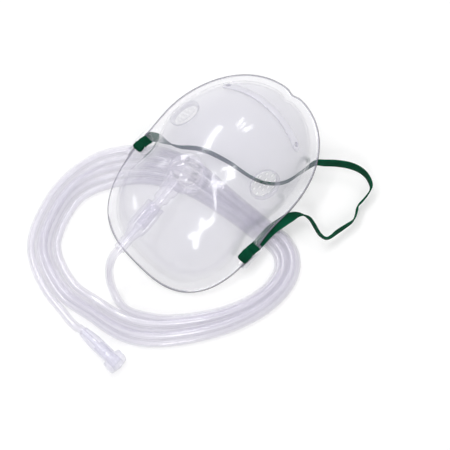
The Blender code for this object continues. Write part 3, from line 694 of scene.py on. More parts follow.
def clear_plastic(name, tint, body, edge, power, rough, bump, scale, cloud=0.0, dim=0.92, zones=False):
    """Thin clear plastic: see-through, denser where the wall is seen edge on, with a soft gloss.

    body and edge are how dense a face is seen square on and edge on, and power how late the second
    sets in. bump and scale give the surface's slight waves, cloud how much its density varies at random,
    and dim how much darker its colour is painted where the wall is seen edge on, a painted shade. With
    zones, the mesh's own values say where the wall is clearer and where the bead is painted dark, a
    painted shade line along the rim.
    """
    made = bpy.data.materials.new(name)
    tree = tree_of(made)
    here = node(tree, "TexCoord").outputs["Object"]
    waves = grain(tree, here, scale, 2.5, Roughness=0.45)
    normal = node(tree, "Bump", [("Height", waves)], Strength=bump, Distance=0.001).outputs[0]
    weight = node(tree, "LayerWeight", [("Normal", normal)], Blend=0.5)
    rim = math_node(tree, "POWER", weight.outputs["Facing"], power)
    density = math_node(tree, "MULTIPLY_ADD", rim, edge - body, body)
    if cloud:
        density = math_node(tree, "MULTIPLY_ADD", grain(tree, here, 28.0), cloud, density)
        density = math_node(tree, "SUBTRACT", density, cloud / 2, clamp=True)
    # Painted shade: the colour is made darker where the wall is seen edge on, as clear plastic looks at
    # its edges.
    shade = math_node(tree, "MULTIPLY_ADD", rim, dim - 1, 1.0)
    # With zones, the bead is painted dense and dark, a painted shade line along the rim.
    if zones:
        wall = node(tree, "Attribute", attribute_name="wall")
        bead = node(tree, "Attribute", attribute_name="bead")
        density = math_node(tree, "MULTIPLY", density, wall.outputs["Fac"])
        density = math_node(tree, "MULTIPLY_ADD", bead.outputs["Fac"], BEAD_DENSITY, density, clamp=True)
        shade = math_node(tree, "MULTIPLY_ADD", bead.outputs["Fac"], BEAD_SHADE - 1, shade)
    colour = node(tree, "VectorMath", [("Scale", shade)], operation="SCALE", Vector=tint)
    links = [("Base Color", colour.outputs[0]), ("Alpha", density), ("Normal", normal)]
    base = node(tree, "BsdfPrincipled", links, Roughness=0.4)
    gloss = node(tree, "BsdfGlossy", [("Normal", normal)], Color=(1, 1, 1, 1), Roughness=rough)
    mirror = math_node(tree, "POWER", weight.outputs["Facing"], 5.0)
    mirror = math_node(tree, "MULTIPLY_ADD", mirror, 1 - SQUARE_MIRROR, SQUARE_MIRROR)
    both = node(tree, "MixShader", [(0, mirror), (1, base.outputs[0]), (2, gloss.outputs[0])])
    node(tree, "OutputMaterial", [("Surface", both.outputs[0])])
    return made


shell_tint = (0.46, 0.44, 0.60)
shell_look = clear_plastic("shell_vinyl", shell_tint, 0.17, 0.27, 2.6, 0.15, 0.08, 45.0, 0.05, zones=True)
fitting_look = clear_plastic("shell_fitting", (0.44, 0.42, 0.56), 0.10, 0.32, 2.2, 0.12, 0.05, 120.0)
tube_look = clear_plastic("tube_vinyl", (0.745, 0.715, 0.845), 0.15, 0.34, 2.0, 0.14, 0.05, 160.0, dim=1.0)
elbow_look = clear_plastic("elbow_styrene", (0.73, 0.70, 0.82), 0.18, 0.42, 2.4, 0.06, 0.02, 160.0)
cuff_look = clear_plastic("cuff_vinyl", (0.64, 0.61, 0.77), 0.14, 0.38, 2.2, 0.14, 0.05, 160.0)
far_cuff_look = clear_plastic("far_cuff_vinyl", (0.68, 0.66, 0.84), 0.20, 0.42, 2.2, 0.14, 0.05, 160.0)


def metal_look():
    """Soft bare strip, rolled along its length and a little worn."""
    made = bpy.data.materials.new("clip_metal")
    tree = tree_of(made)
    here = node(tree, "TexCoord").outputs["Object"]
    along = node(tree, "Mapping", [("Vector", here)], Scale=(140.0, 1400.0, 1400.0))
    brush = grain(tree, along.outputs[0], 1.0)
    rough = node(tree, "MapRange", [("Value", grain(tree, here, 110.0, 4.0))], To_Min=0.28, To_Max=0.5)
    bump = node(tree, "Bump", [("Height", brush)], Strength=0.25, Distance=0.0002)
    links = [("Roughness", rough.outputs[0]), ("Normal", bump.outputs[0])]
    metal = node(tree, "BsdfPrincipled", links, Base_Color=(0.74, 0.73, 0.79, 1), Metallic=0.9)
    node(tree, "OutputMaterial", [("Surface", metal.outputs[0])])
    return made


def elastic_look():
    """Woven elastic: cords along the band, crossed by the weft. UV is millimetres across and along."""
    made = bpy.data.materials.new("green_elastic")
    tree = tree_of(made)
    place = node(tree, "TexCoord")
    parts = node(tree, "SeparateXYZ", [("Vector", place.outputs["UV"])])
    across, along = parts.outputs[0], parts.outputs[1]
    cords = math_node(tree, "SINE", math_node(tree, "MULTIPLY", across, 2 * math.pi / CORD_PITCH))
    shifted = math_node(tree, "MULTIPLY_ADD", cords, 0.28, along)
    weft = math_node(tree, "SINE", math_node(tree, "MULTIPLY", shifted, 2 * math.pi / WEFT_PITCH))
    weave = math_node(tree, "MULTIPLY_ADD", weft, 0.35, cords)
    fuzz = grain(tree, place.outputs["Object"], 2600.0)
    height = math_node(tree, "MULTIPLY_ADD", fuzz, 0.7, weave)
    bump = node(tree, "Bump", [("Height", height)], Strength=0.7, Distance=0.00022)
    wear = grain(tree, place.outputs["Object"], 95.0)
    # Painted shade in the weave: the colour is darker in its grooves and lighter on its ridges, with a
    # random wear tone over it.
    groove_shade_and_wear = math_node(tree, "MULTIPLY_ADD", weave, 0.16, wear)
    ramp = node(tree, "ValToRGB", [("Fac", groove_shade_and_wear)])
    dark, light = ramp.color_ramp.elements
    dark.position, light.position = 0.25, 0.85
    dark.color, light.color = (0.002, 0.039, 0.019, 1), (0.003, 0.118, 0.055, 1)
    cloth = node(
        tree,
        "BsdfPrincipled",
        [("Base Color", ramp.outputs[0]), ("Normal", bump.outputs[0])],
        Roughness=0.8,
        Specular_IOR_Level=0.05,
        Sheen_Weight=0.02,
        Sheen_Roughness=0.5,
        Sheen_Tint=(0.6, 0.85, 0.75, 1),
    )
    node(tree, "OutputMaterial", [("Surface", cloth.outputs[0])])
    return made


# Shell

AROUND = 224  # points in each ring of the shell
OUTER_RINGS, INNER_RINGS = 40, 34
COLLAR_FILLET = 2.6 * MM
CLEAREST = 0.45  # how dense the wall is at its foot, against its top
DENSER = (2.0 * MM, 14.0 * MM)
# How dense the wall is made towards the chin and towards the nose, and where it changes over: clearer
# towards the chin, denser towards the nose.
CHIN_DENSITY, NOSE_DENSITY = 0.84, 1.08
DENSITY_GROWS = (-45.0 * MM, 45.0 * MM)
# How much of the bead's painted shade its top gets.
BEAD_TOP_DARK = 0.6


def on_dome(radius, angle, inset=0.0):
    """The place of the dome's wall that lies at a radius and an angle about the port's axis."""
    home = port_axes().inverted()
    want = Vector(polar(radius, angle))
    x, y = want.x, PORT_Y + want.y
    for _ in range(12):
        local = home @ dome_point(x, y, inset)
        x, y = x + want.x - local.x, y + want.y - local.y
    return x, y


def flat_ring(radius_at, inset, z):
    return [Vector(polar(radius_at(a, inset), a, z)) for a in angles_round(AROUND)]


def foot_ring(inset, z):
    return [slumped(p.x, p.y, z) for p in flat_ring(dome_radius, inset, 0.0)]


def wall_rings(inset, port_radius, count):
    """Rings from the foot of the dome in to a circle about the port, leaving out both ends."""
    foot = flat_ring(dome_radius, inset, 0.0)
    inner = [on_dome(port_radius, a, inset) for a in angles_round(AROUND)]
    rings = []
    for k in range(1, count):
        share = math.cos(k / count * math.pi / 2) ** (2 / DOME_SQUARENESS)
        ring = []
        for (fx, fy, _), (ix, iy) in zip(foot, inner, strict=True):
            x, y = ix + (fx - ix) * share, iy + (fy - iy) * share
            ring.append(dome_point(x, y, inset))
        rings.append(ring)
    rings.append([dome_point(x, y, inset) for x, y in inner])
    return rings


def shell_form():
    """Both faces of the wall, the beaded flange and the collar as one closed skin."""
    edge = (
        (BEAD_ROUND, 0.0),
        (0.15 * BEAD_ROUND, 0.4 * BEAD_ROUND),
        (0.0, BEAD_ROUND),
        (0.0, BEAD_HEIGHT - BEAD_ROUND),
        (0.2 * BEAD_ROUND, BEAD_HEIGHT - 0.3 * BEAD_ROUND),
        (BEAD_ROUND, BEAD_HEIGHT),
        (BEAD_WIDTH - BEAD_ROUND, BEAD_HEIGHT),
        (BEAD_WIDTH - 0.2 * BEAD_ROUND, BEAD_HEIGHT - 0.4 * BEAD_ROUND),
        (BEAD_WIDTH + 0.3 * BEAD_ROUND, FLANGE_THICK),
        (FLANGE_WIDTH - 0.7 * MM, FLANGE_THICK),
    )
    rings = [flat_ring(outline_radius, inset, z) for inset, z in edge]
    rings.append(foot_ring(0.0, FLANGE_THICK))
    rings += wall_rings(0.0, COLLAR_RADIUS + COLLAR_FILLET, OUTER_RINGS)
    port = port_axes()
    angles = angles_round(AROUND)
    at_wall = [(port.inverted() @ dome_point(*on_dome(COLLAR_RADIUS, a))).z for a in angles]
    start = rings[-1]

    def around(radius, depths):
        return [port @ Vector(polar(radius, a, d)) for a, d in zip(angles, depths, strict=True)]

    corner = around(COLLAR_RADIUS, at_wall)
    end = around(COLLAR_RADIUS, [min(d + 2.4 * MM, -0.8 * MM) for d in at_wall])
    for t in (0.2, 0.4, 0.6, 0.8, 1.0):
        curves = zip(start, corner, end, strict=True)
        rings.append([s * (1 - t) ** 2 + c * 2 * t * (1 - t) + e * t * t for s, c, e in curves])
    bore = PLUG_RADIUS + GAP
    for radius, depth in (
        (COLLAR_RADIUS, -0.6 * MM),
        (COLLAR_RADIUS - 0.15 * MM, -0.18 * MM),
        (COLLAR_RADIUS - 0.6 * MM, 0.0),
        (bore + 0.4 * MM, 0.0),
        (bore, -0.4 * MM),
    ):
        rings.append(around(radius, [depth] * AROUND))
    rings += reversed(wall_rings(WALL, bore, INNER_RINGS))
    rings += [foot_ring(WALL, FLANGE_THICK), foot_ring(WALL, 0.3 * MM), foot_ring(WALL - 0.3 * MM, 0.0)]
    return loft("mask_shell", rings, ring_closed=True)


def ear_reach(side):
    """How far out an ear ends: a set length past the rim beside it."""
    angle = math.atan2(EAR_Y[side], side * HALF_WIDTH)
    return abs(outline_radius(angle, 0.0) * math.cos(angle)) + EAR_PAST


def ear_plate(side):
    middle = (ear_reach(side) - EAR_ROOT / 2, EAR_Y[side])
    half = (EAR_ROOT / 2, EAR_LENGTH / 2)
    rings = []
    for inset, z in ((0.4, 0.0), (0.1, 0.12), (0.0, 0.4), (0.0, 1.0), (0.1, 1.28), (0.4, 1.4)):
        ring = rounded_box(middle, half, EAR_ROUND, EAR_ROUND - inset * MM, 10)
        rings.append([(side * x, y, EAR_LIFT + z * MM) for x, y in ring])
    return loft("ear", rings)


def slot_middle(side):
    y = EAR_Y[side] + EAR_LENGTH / 2 - BRIDGE - SLOT_WIDTH / 2
    x = ear_reach(side) - SLOT_INSET - SLOT_LENGTH / 2
    return side * x, y


def ear_slot(side):
    ring = rounded_box(slot_middle(side), (SLOT_LENGTH / 2, SLOT_WIDTH / 2), SLOT_ROUND, SLOT_ROUND, 15)
    return loft("slot", [[(x, y, z) for x, y in ring] for z in (-3 * EAR_THICK, 3 * EAR_THICK)])


def mark_zones(mesh):
    """Values for the shell's look: how dense the wall is, and where the bead's outer face is, and more
    lightly its top, which the look paints dark as a painted shade line along the rim.
    """
    wall = mesh.attributes.new("wall", "FLOAT", "POINT")
    bead = mesh.attributes.new("bead", "FLOAT", "POINT")
    for vertex in mesh.vertices:
        x, y, z = vertex.co
        from_edge = outline_radius(math.atan2(y, x), 0.0) - math.hypot(x, y)
        y_density = CHIN_DENSITY + (NOSE_DENSITY - CHIN_DENSITY) * smooth_step(*DENSITY_GROWS, y)
        wall.data[vertex.index].value = y_density * (CLEAREST + (1 - CLEAREST) * smooth_step(*DENSER, z))
        on_edge = abs(from_edge) < 0.3 * BEAD_ROUND and 0.1 * BEAD_HEIGHT < z
        on_top = 0.3 * BEAD_ROUND <= from_edge < 1.8 * BEAD_ROUND and z > 0.9 * BEAD_HEIGHT
        bead.data[vertex.index].value = 1.0 if on_edge else BEAD_TOP_DARK * on_top


def make_vent(side, name):
    rim = VENT_RADIUS
    profile = [
        (AXIS_GAP, -0.5 * MM),
        (rim - 1.5 * MM, -0.5 * MM),
        (rim - 1.2 * MM, -1.3 * MM),
        (rim - 0.4 * MM, -1.3 * MM),
        (rim, -0.5 * MM),
        (rim, VENT_RAISE),
        (rim - 1.1 * MM, VENT_RAISE),
        (rim - 1.6 * MM, 0.5 * MM),
        (AXIS_GAP, 0.5 * MM),
    ]
    disc = turned("vent", rounded(profile, 0.25 * MM, 2), 72)
    holes = []
    for count, share in VENT_RINGS:
        for i in range(count):
            angle = 2 * math.pi * (i + 0.5 * (share > 0.5)) / count
            at = Matrix.Translation(polar(share * VENT_RADIUS, angle))
            holes.append(moved(rod("hole", VENT_HOLE, -6 * MM, 6 * MM, 20), at))
    disc = combined(disc, [("DIFFERENCE", joined("holes", holes))])
    piece(f"vent_{name}", disc, fitting_look, smooth=38, matrix=MASK @ vent_axes(side))


def make_stud(side, name):
    profile = [
        (AXIS_GAP, -0.4 * MM),
        (STUD_RADIUS, -0.4 * MM),
        (STUD_RADIUS, STUD_RISE - 0.7 * MM),
        (STUD_RADIUS, STUD_RISE),
        (AXIS_GAP, STUD_RISE),
    ]
    stud = turned("stud", rounded(profile, 0.35 * MM, 3), 28)
    place = MASK @ clip_axes(side * (CLIP_HALF_SPAN - STUD_INSET))
    piece(f"clip_stud_{name}", stud, fitting_look, smooth=50, matrix=place)


def make_shell():
    ears = joined("ears", [ear_plate(-1), ear_plate(1)])
    cuts = [ear_slot(-1), ear_slot(1)]
    for side in (-1, 1):
        cuts.append(moved(rod("vent_hole", VENT_RADIUS - 1.2 * MM, -4 * MM, 3 * MM, 72), vent_axes(side)))
    mesh = combined(shell_form(), [("UNION", ears), ("DIFFERENCE", joined("cuts", cuts))])
    mark_zones(mesh)
    piece("shell", mesh, shell_look, ["mask_shell"], smooth=38, matrix=MASK)
    for side, name in ((-1, "left"), (1, "right")):
        make_vent(side, name)
        make_stud(side, name)


CLIP_STATIONS = 90
CLIP_ROUND = 0.22 * MM
# One corner of the clip's section, as shares of the rounding taken off its thickness and its width
CLIP_CORNER = ((0, 1), (0.3, 0.3), (1, 0))


def make_clip():
    """The strip follows the dome's own height and normal, and ends round."""
    rings = []
    step = 0.5 * MM
    for i in range(CLIP_STATIONS + 1):
        t = 2 * i / CLIP_STATIONS - 1
        x = CLIP_HALF_SPAN * math.copysign(1 - (1 - abs(t)) ** 1.25, t)
        up = dome_normal(x, clip_y(x))
        here = dome_point(x, clip_y(x))
        along = dome_point(x + step, clip_y(x + step)) - dome_point(x - step, clip_y(x - step))
        across = up.cross(along).normalized()
        from_end = min((CLIP_HALF_SPAN - abs(x)) / (CLIP_WIDTH / 2), 1.0)
        half = CLIP_WIDTH / 2 * max(math.sqrt(max(1 - (1 - from_end) ** 2, 0)), 0.16)
        ring = []
        for sign, on_top, corner in (
            (-1, False, CLIP_CORNER),
            (-1, True, CLIP_CORNER[::-1]),
            (1, True, CLIP_CORNER),
            (1, False, CLIP_CORNER[::-1]),
        ):
            for off_thick, off_wide in corner:
                u = sign * (half - CLIP_ROUND * off_wide)
                v = CLIP_THICK - CLIP_ROUND * off_thick if on_top else CLIP_ROUND * off_thick
                ring.append(here + across * u + up * (GAP + v))
        rings.append(ring)
    holes = []
    for side in (-1, 1):
        place = clip_axes(side * (CLIP_HALF_SPAN - STUD_INSET))
        holes.append(moved(rod("hole", STUD_RADIUS + GAP, -STUD_RISE, 2 * STUD_RISE, 28), place))
    mesh = combined(loft("nose_clip", rings), [("DIFFERENCE", joined("holes", holes))])
    piece("clip", mesh, metal_look(), ["nose_clip"], smooth=42, matrix=MASK)


def make_elbow():
    hub = rounded([
        (2 * AXIS_GAP, -PLUG_LENGTH),
        (PLUG_RADIUS, -PLUG_LENGTH),
        (PLUG_RADIUS, 0.0),
        (DISC_RADIUS, 0.0),
        (DISC_RADIUS, DISC_THICK),
        (HUB_RADIUS, DISC_THICK),
        (HUB_RADIUS, HUB_HEIGHT - 2.4 * MM),
        (HUB_RADIUS - 0.8 * MM, HUB_HEIGHT - 0.8 * MM),
        (HUB_RADIUS - 2.4 * MM, HUB_HEIGHT),
        (2 * AXIS_GAP, HUB_HEIGHT),
    ], 0.4 * MM, 3)
    steps = (
        (0.0, NIPPLE_ROOT),
        (STEP_AT - 0.3 * MM, NIPPLE_ROOT),
        (STEP_AT, NIPPLE_ROOT - 0.3 * MM),
        (STEP_AT, NIPPLE_STEP + 0.2 * MM),
        (STEP_AT + 0.3 * MM, NIPPLE_STEP),
        (STEP_END - 0.3 * MM, NIPPLE_STEP),
        (STEP_END, NIPPLE_STEP - 0.3 * MM),
        (STEP_END, NIPPLE_TIP),
        (NIPPLE_END - BARB_LENGTH - 1 * MM, NIPPLE_TIP),
        (NIPPLE_END - BARB_LENGTH, NIPPLE_TIP + BARB_RISE),
        (NIPPLE_END, NIPPLE_TIP - BARB_RISE),
    )
    nipple = loft("nipple", [circle(radius, z, 48) for z, radius in steps])
    tools = [("UNION", moved(nipple, nipple_axes()))]
    inner, foot = HUB_RADIUS - 0.8 * MM, HUB_RADIUS + RIB_REACH
    outline = (
        (inner, DISC_THICK / 2),
        (foot, DISC_THICK / 2),
        (foot, DISC_THICK + 0.8 * MM),
        (inner, DISC_THICK + RIB_HEIGHT),
    )
    sides = [[(x, y, z) for x, z in outline] for y in (-RIB_THICK / 2, RIB_THICK / 2)]
    for i in range(RIB_COUNT):
        angle = 2 * math.pi * (i + 0.5) / RIB_COUNT + math.pi / 2
        tools.append(("UNION", moved(loft("rib", sides), Matrix.Rotation(angle, 4, "Z"))))
    tools.append(("DIFFERENCE", rod("hub_bore", HUB_BORE, -2 * PLUG_LENGTH, NIPPLE_Z + NIPPLE_BORE, 72)))
    bore = rod("nipple_bore", NIPPLE_BORE, 0.0, 2 * NIPPLE_END, 32)
    tools.append(("DIFFERENCE", moved(bore, nipple_axes())))
    mesh = combined(turned("elbow", hub, 72), tools)
    place = MASK @ elbow_axes()
    piece("elbow", mesh, elbow_look, ["inlet_elbow"], smooth=36, matrix=place)


# Tube and cuffs

CUFF_STATIONS, NECK_STATIONS = 30, 10
CUFF_SWELL = 0.25 * MM
GRIP_SPAN = 0.16
FAR_STATIONS = 12
FAR_GRIP_CORNER = 0.97
# How far along the far cuff's grip, and how much of its six-sided shape is there
FAR_GRIP_FORM = (
    (0.02, 0.5),
    (0.10, 0.85),
    (0.20, 0.97),
    (0.42, 1.0),
    (0.47, 0.84),
    (0.60, 0.84),
    (0.65, 1.0),
    (0.86, 0.98),
    (0.95, 0.88),
    (1.0, 0.7),
)


def spun(name, rows, bore_rows, sides, shape):
    """A hollow form along +Z: rows of (z, radius, how much of the shape), bore rows back to the start."""
    rings = []
    for z, radius, amount in rows:
        rings.append([polar(radius + amount * shape(a), a, z) for a in angles_round(sides)])
    rings += [circle(radius, z, sides) for z, radius in bore_rows]
    return loft(name, rings, ring_closed=True)


def cuff_radius(z):
    return CUFF_WAIST + CUFF_SWELL - (CUFF_WAIST - CUFF_TAIL) * smooth_step(CUFF_SHOULDER, CUFF_NECK, z)


def make_mask_cuff():
    rows = [
        (0.0, CUFF_MOUTH - 0.5 * MM, 0),
        (0.12 * MM, CUFF_MOUTH - 0.14 * MM, 0),
        (0.5 * MM, CUFF_MOUTH, 0),
        (CUFF_LIP, CUFF_MOUTH, 0),
        (CUFF_LIP + 0.5 * MM, CUFF_MOUTH - 0.2 * MM, 0),
    ]
    for i in range(CUFF_STATIONS + 1):
        z = CUFF_GRIP_FROM + (CUFF_GRIP_TO - CUFF_GRIP_FROM) * i / CUFF_STATIONS
        fade = min(i / 2, 1.0) * min((CUFF_STATIONS - i) / 3, 1.0)
        rows.append((z, cuff_radius(z), fade))
    for i in range(1, NECK_STATIONS + 1):
        z = CUFF_GRIP_TO + (CUFF_LENGTH - 0.4 * MM - CUFF_GRIP_TO) * i / NECK_STATIONS
        rows.append((z, cuff_radius(z), 0))
    rows.append((CUFF_LENGTH, CUFF_TAIL - 0.3 * MM, 0))
    socket = NIPPLE_TIP + BARB_RISE + GAP
    socket_end = NIPPLE_END - CUFF_START + 1 * MM
    bore = (
        (CUFF_LENGTH, TUBE_BORE),
        (socket_end + 2 * MM, TUBE_BORE),
        (socket_end, socket),
        (0.4 * MM, socket),
        (0.0, socket + 0.3 * MM),
    )

    def grips(angle):
        share = (angle / (2 * math.pi) * CUFF_GRIPS) % 1.0
        return (CUFF_GRIP_RISE + CUFF_SWELL) * bell(share, 0.5, GRIP_SPAN)

    mesh = spun("mask_cuff", rows, bore, 160, grips)
    place = MASK @ cuff_axes()
    return piece("mask_cuff", mesh, cuff_look, ["mask_end_cuff"], smooth=50, matrix=place)


def far_cuff_axes():
    start = Vector(FAR_CUFF_FROM) * MM
    climb = math.asin((FAR_GRIP - start.z) / (FAR_LENGTH - FAR_GRIP_LENGTH / 2))
    heading = math.radians(FAR_CUFF_HEADING)
    level = math.cos(climb)
    along = (level * math.cos(heading), level * math.sin(heading), math.sin(climb))
    return axes_at(start, along, Vector((0, 0, 1)))


def make_far_cuff():
    grip_at = FAR_LENGTH - FAR_GRIP_LENGTH
    flare = FAR_LENGTH / 3
    rows = [(0.0, CUFF_TAIL - 0.4 * MM, 0), (0.4 * MM, CUFF_TAIL, 0)]
    for i in range(1, FAR_STATIONS + 1):
        z = flare * i / FAR_STATIONS
        rows.append((z, CUFF_TAIL + (FAR_BODY - CUFF_TAIL) * smooth_step(0, flare, z), 0))
    rows += [(grip_at - 0.6 * MM, FAR_BODY, 0), (grip_at, FAR_BODY + 0.2 * MM, 0.1)]
    rows += [(grip_at + along * FAR_GRIP_LENGTH, FAR_BODY, share) for along, share in FAR_GRIP_FORM]
    mouth_end = FAR_LENGTH - FAR_MOUTH_DEPTH
    bore = (
        (FAR_LENGTH, FAR_BORE + 0.8 * MM),
        (FAR_LENGTH - 0.5 * MM, FAR_BORE + 0.4 * MM),
        (mouth_end, FAR_BORE + 0.4 * MM),
        (mouth_end - 0.4 * MM, FAR_BORE),
        (FAR_SEAT + 0.4 * MM, FAR_BORE),
        (FAR_SEAT, TUBE_BORE),
        (0.0, TUBE_BORE),
    )

    def hexagon(angle):
        turn = (angle % (math.pi / 3)) - math.pi / 6
        flat = FAR_GRIP * math.cos(math.pi / 6) / math.cos(turn)
        return min(flat, FAR_GRIP * FAR_GRIP_CORNER) - FAR_BODY

    mesh = spun("far_cuff", rows, bore, 144, hexagon)
    place = far_cuff_axes()
    return piece("far_cuff", mesh, far_cuff_look, ["far_end_cuff"], smooth=40, matrix=place)


# The tube's route is worked out in millimetres, and as row numbers along the bundle's line.
PITCH = 5.1  # from one turn of the tube to the next
LOW = 2.5
ROWS = len(COIL_BUNDLE)
FIRST_ROW = 14
TURNS = 5
PER_ROW = 12
COIL_FROM, COIL_TO = 0.95, ROWS * TURNS - 1.75
SEAM_FROM, SEAM_TO = 15.75, 17.65  # where the turns change over from their left places to their right ones
CROSS_FROM, CROSS_TO = 9.6, 11.0  # and from the right ones to the left
SEAM_LIFT = 0.5
DRIFT, LIFT = 0.22, 0.12
LEAD_END = (5.2, -92.9, 2.6)
TUBE_END_GAP = 0.05 * MM
TUBE_STEP, TUBE_FINENESS, TUBE_SIDES = 2.4 * MM, 6, 22
BUNDLE = [COIL_BUNDLE[(FIRST_ROW - i) % ROWS] for i in range(ROWS)]


def along_bundle(t):
    """The bundle's line and half width at row number t."""
    i = math.floor(t)
    return between([np.array(BUNDLE[(i + k) % ROWS], float) for k in (-1, 0, 1, 2)], t - i)


def right_place(turn, half):
    """Where a turn lies in the bundle's section on the right: three below, two in their hollows."""
    apart = PITCH / 2 * (1 + min(max((half - LOW) / PITCH - 1, 0.0), 1.0))
    rise = math.sqrt(max(PITCH**2 - apart**2, 0.0)) if turn % 2 else 0.0
    return np.array(((turn - 2) * apart, LOW + rise))


def left_place(turn, half):
    """And on the left, where one lies on four: turns 1 to 5, counted outwards."""
    apart = PITCH / 2 * (1 + min(max(2 * (half - LOW - 1.5 * PITCH) / PITCH, 0.0), 1.0))
    if turn == 3:
        return np.array((0.0, LOW + math.sqrt(max(PITCH**2 - apart**2, 0.0))))
    if turn in (2, 4):
        return np.array(((turn - 3) * apart, LOW))
    return np.array(((turn - 3) / 2 * (apart + PITCH), LOW))


def turn_place(lap, local, half):
    """A turn's place in the section: how far out of the bundle's line, and how high."""
    seam, run = (lap + 1, local) if local > SEAM_FROM else (lap, local + ROWS)
    if SEAM_FROM < run < SEAM_TO:
        mix = smooth_step(SEAM_FROM, SEAM_TO, run)
        place = left_place(seam, half) * (1 - mix) + right_place(seam, half) * mix
        if seam == 1:
            place[1] += SEAM_LIFT * math.sin(math.pi * mix)
        return place
    mix = smooth_step(CROSS_FROM, CROSS_TO, local)
    return right_place(lap, half) * (1 - mix) + left_place(lap + 1, half) * mix


def tube_path():
    """The tube's own line from the mask's cuff through five turns to the far cuff, in metres."""
    cuff_end = MASK @ cuff_axes() @ Matrix.Translation((0, 0, CUFF_LENGTH + TUBE_END_GAP))
    straight = cuff_end @ Vector((0, 0, TUBE_RADIUS))
    line = [cuff_end.translation / MM, straight / MM, *LEAD_ROUTE, LEAD_END]
    for n in range(math.ceil(COIL_FROM * PER_ROW), math.floor(COIL_TO * PER_ROW) + 1):
        t = n / PER_ROW
        lap, local = int(t // ROWS), t % ROWS
        x, y, half = along_bundle(local)
        ahead, behind = along_bundle(local + 0.05), along_bundle(local - 0.05)
        dx, dy = ahead[0] - behind[0], ahead[1] - behind[1]
        length = math.hypot(dx, dy)
        out, up = turn_place(lap, local, half)
        out += DRIFT * noise.noise(Vector((t * 0.42, lap * 7.3, 1.9)))
        up += LIFT * abs(noise.noise(Vector((t * 0.36, lap * 5.1, 8.4))))
        line.append((x + dy / length * out, y - dx / length * out, up))
    cuff = far_cuff_axes()
    line += TAIL_ROUTE
    line += [cuff @ Vector((0, 0, -back)) / MM for back in (TUBE_RADIUS, TUBE_END_GAP)]
    return [Vector(p) * MM for p in line]


def settled(line, passes):
    """The line with its small kinks smoothed out, its two ends left as they are."""
    keep = line.copy()
    for _ in range(passes):
        line[1:-1] = (line[:-2] + 2 * line[1:-1] + line[2:]) / 4
        line[:3], line[-3:] = keep[:3], keep[-3:]
    return line


def make_tube(cuffs):
    line = settled(evened(tube_path(), TUBE_STEP, TUBE_FINENESS), 6)
    line[:, 2] = np.maximum(line[:, 2], TUBE_RADIUS)
    tangent = np.gradient(line, axis=0)
    tangent /= np.linalg.norm(tangent, axis=1)[:, None]
    side = np.cross(tangent[0], (0, 0, 1.0))
    outer, inner = [], []
    for spot, along in zip(line, tangent, strict=True):
        side = side - along * np.dot(side, along)
        side /= np.linalg.norm(side)
        up = np.cross(along, side)
        spokes = [math.cos(a) * side + math.sin(a) * up for a in angles_round(TUBE_SIDES)]
        outer.append([spot + TUBE_RADIUS * spoke for spoke in spokes])
        inner.append([spot + TUBE_BORE * spoke for spoke in spokes])
    mesh = loft("tube", [*outer, *reversed(inner)], ring_closed=True)
    nodes = ["supply_tube_lead", "supply_tube_coil", "supply_tube_tail"]
    tube = piece("tube", mesh, tube_look, nodes, smooth=60)


# Strap

STOP_STATIONS = 18
STOP_SQUARENESS = {-1: 3.2, 1: 5.0}
STRAP_STEP, STRAP_FINENESS = 1.1 * MM, 24
FLAT_STEPS, EDGE_STEPS = 8, 6
SELVEDGE = 0.6  # how far in the rounding of its edges starts, as a share of half the thickness


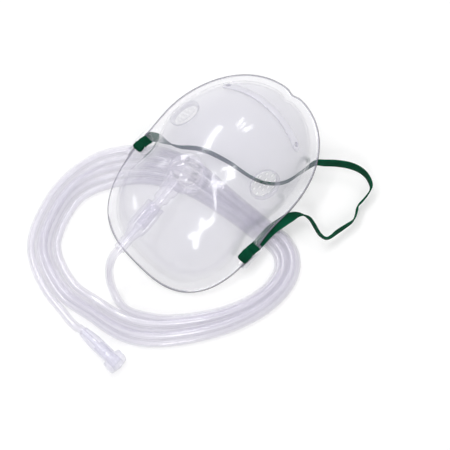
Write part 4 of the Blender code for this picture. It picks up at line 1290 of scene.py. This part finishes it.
def strap_end(side):
    """Place, lean, width and thickness along the stop and the band from it through the ear's slot."""
    x, y = slot_middle(side)
    on_ear = BEAD_HEIGHT + GAP + STRAP_THICK / 2
    under = -GAP - STRAP_THICK / 2 - STRAP_SLACK
    stop_middle = BEAD_HEIGHT + GAP + STOP_THICK / 2
    slot_from, slot_to = y - SLOT_WIDTH / 2, y + SLOT_WIDTH / 2
    stop_to = slot_from - STOP_ROUND
    power = STOP_SQUARENESS[side]
    rows = []
    for i in range(STOP_STATIONS + 1):
        share = i / STOP_STATIONS
        full = max((1 - abs(2 * share - 1) ** power) ** (1 / power), 0.5)
        crease = bell(share, 0.5, 0.07)
        width, thick = STOP_WIDTH * full * (1 - 0.05 * crease), STOP_THICK * full * (1 - 0.12 * crease)
        rows.append((stop_to - (1 - share) * STOP_LENGTH[side], stop_middle, width, thick))
    for along, height in (
        (stop_to + STRAP_SLACK, on_ear),
        (slot_from + STRAP_THICK / 2, on_ear),
        (y, (on_ear + under) / 2),
        (slot_to - STRAP_THICK / 2, under),
        (slot_to + BRIDGE, under),
    ):
        rows.append((along, height, STRAP_WIDTH, STRAP_THICK))
    return [(*(MASK @ Vector((x, along, z))), 0.0, width, thick) for along, z, width, thick in rows]


def strap_section():
    """The band's outline: flat faces, with a rounded selvedge at each side."""
    section = []
    for face in (1, -1):
        section += [(face * (1 - 2 * k / FLAT_STEPS), face) for k in range(FLAT_STEPS + 1)]
        section += [(-face, face * math.cos(math.pi * k / EDGE_STEPS)) for k in range(1, EDGE_STEPS)]
    return section


def make_strap():
    left, right = strap_end(-1), strap_end(1)
    free = [(x * MM, y * MM, z * MM, lean, STRAP_WIDTH, STRAP_THICK) for x, y, z, lean in STRAP_ROUTE]
    flipped = [(*row[:3], 180.0, *row[4:]) for row in reversed(right)]
    middle = evened([left[-1], *free, flipped[0]], STRAP_STEP, STRAP_FINENESS)
    stations = [*left[:-1], *middle, *flipped[1:]]
    spots = [Vector(row[:3]) for row in stations]
    section = strap_section()
    rings, runs = [], [0.0]
    for i, (*_, lean, width, thick) in enumerate(stations):
        before, after = spots[max(i - 1, 0)], spots[min(i + 1, len(spots) - 1)]
        runs.append(runs[-1] + (after - spots[i]).length)
        along = (after - before).normalized()
        level = along.cross(Vector((0, 0, 1))).normalized()
        upright = level.cross(along)
        turn = math.radians(lean)
        across = level * math.cos(turn) + upright * math.sin(turn)
        out = along.cross(across)
        ring = []
        for u, v in section:
            reach = width / 2 - thick / 2 * SELVEDGE * (1 - math.sqrt(1 - v * v))
            ring.append(spots[i] + across * (u * reach) + out * (v * thick / 2))
        rings.append(ring)
    mesh = loft("strap", rings)
    layer = mesh.uv_layers.new(name="band")
    for loop in mesh.loops:
        i, j = divmod(loop.vertex_index, len(section))
        layer.data[loop.index].uv = (section[j][0] * STRAP_WIDTH / 2 / MM, runs[i] / MM)
    piece("strap", mesh, elastic_look(), ["head_strap"], smooth=55)


make_tube([make_mask_cuff(), make_far_cuff()])
make_shell()
make_clip()
make_elbow()
make_strap()
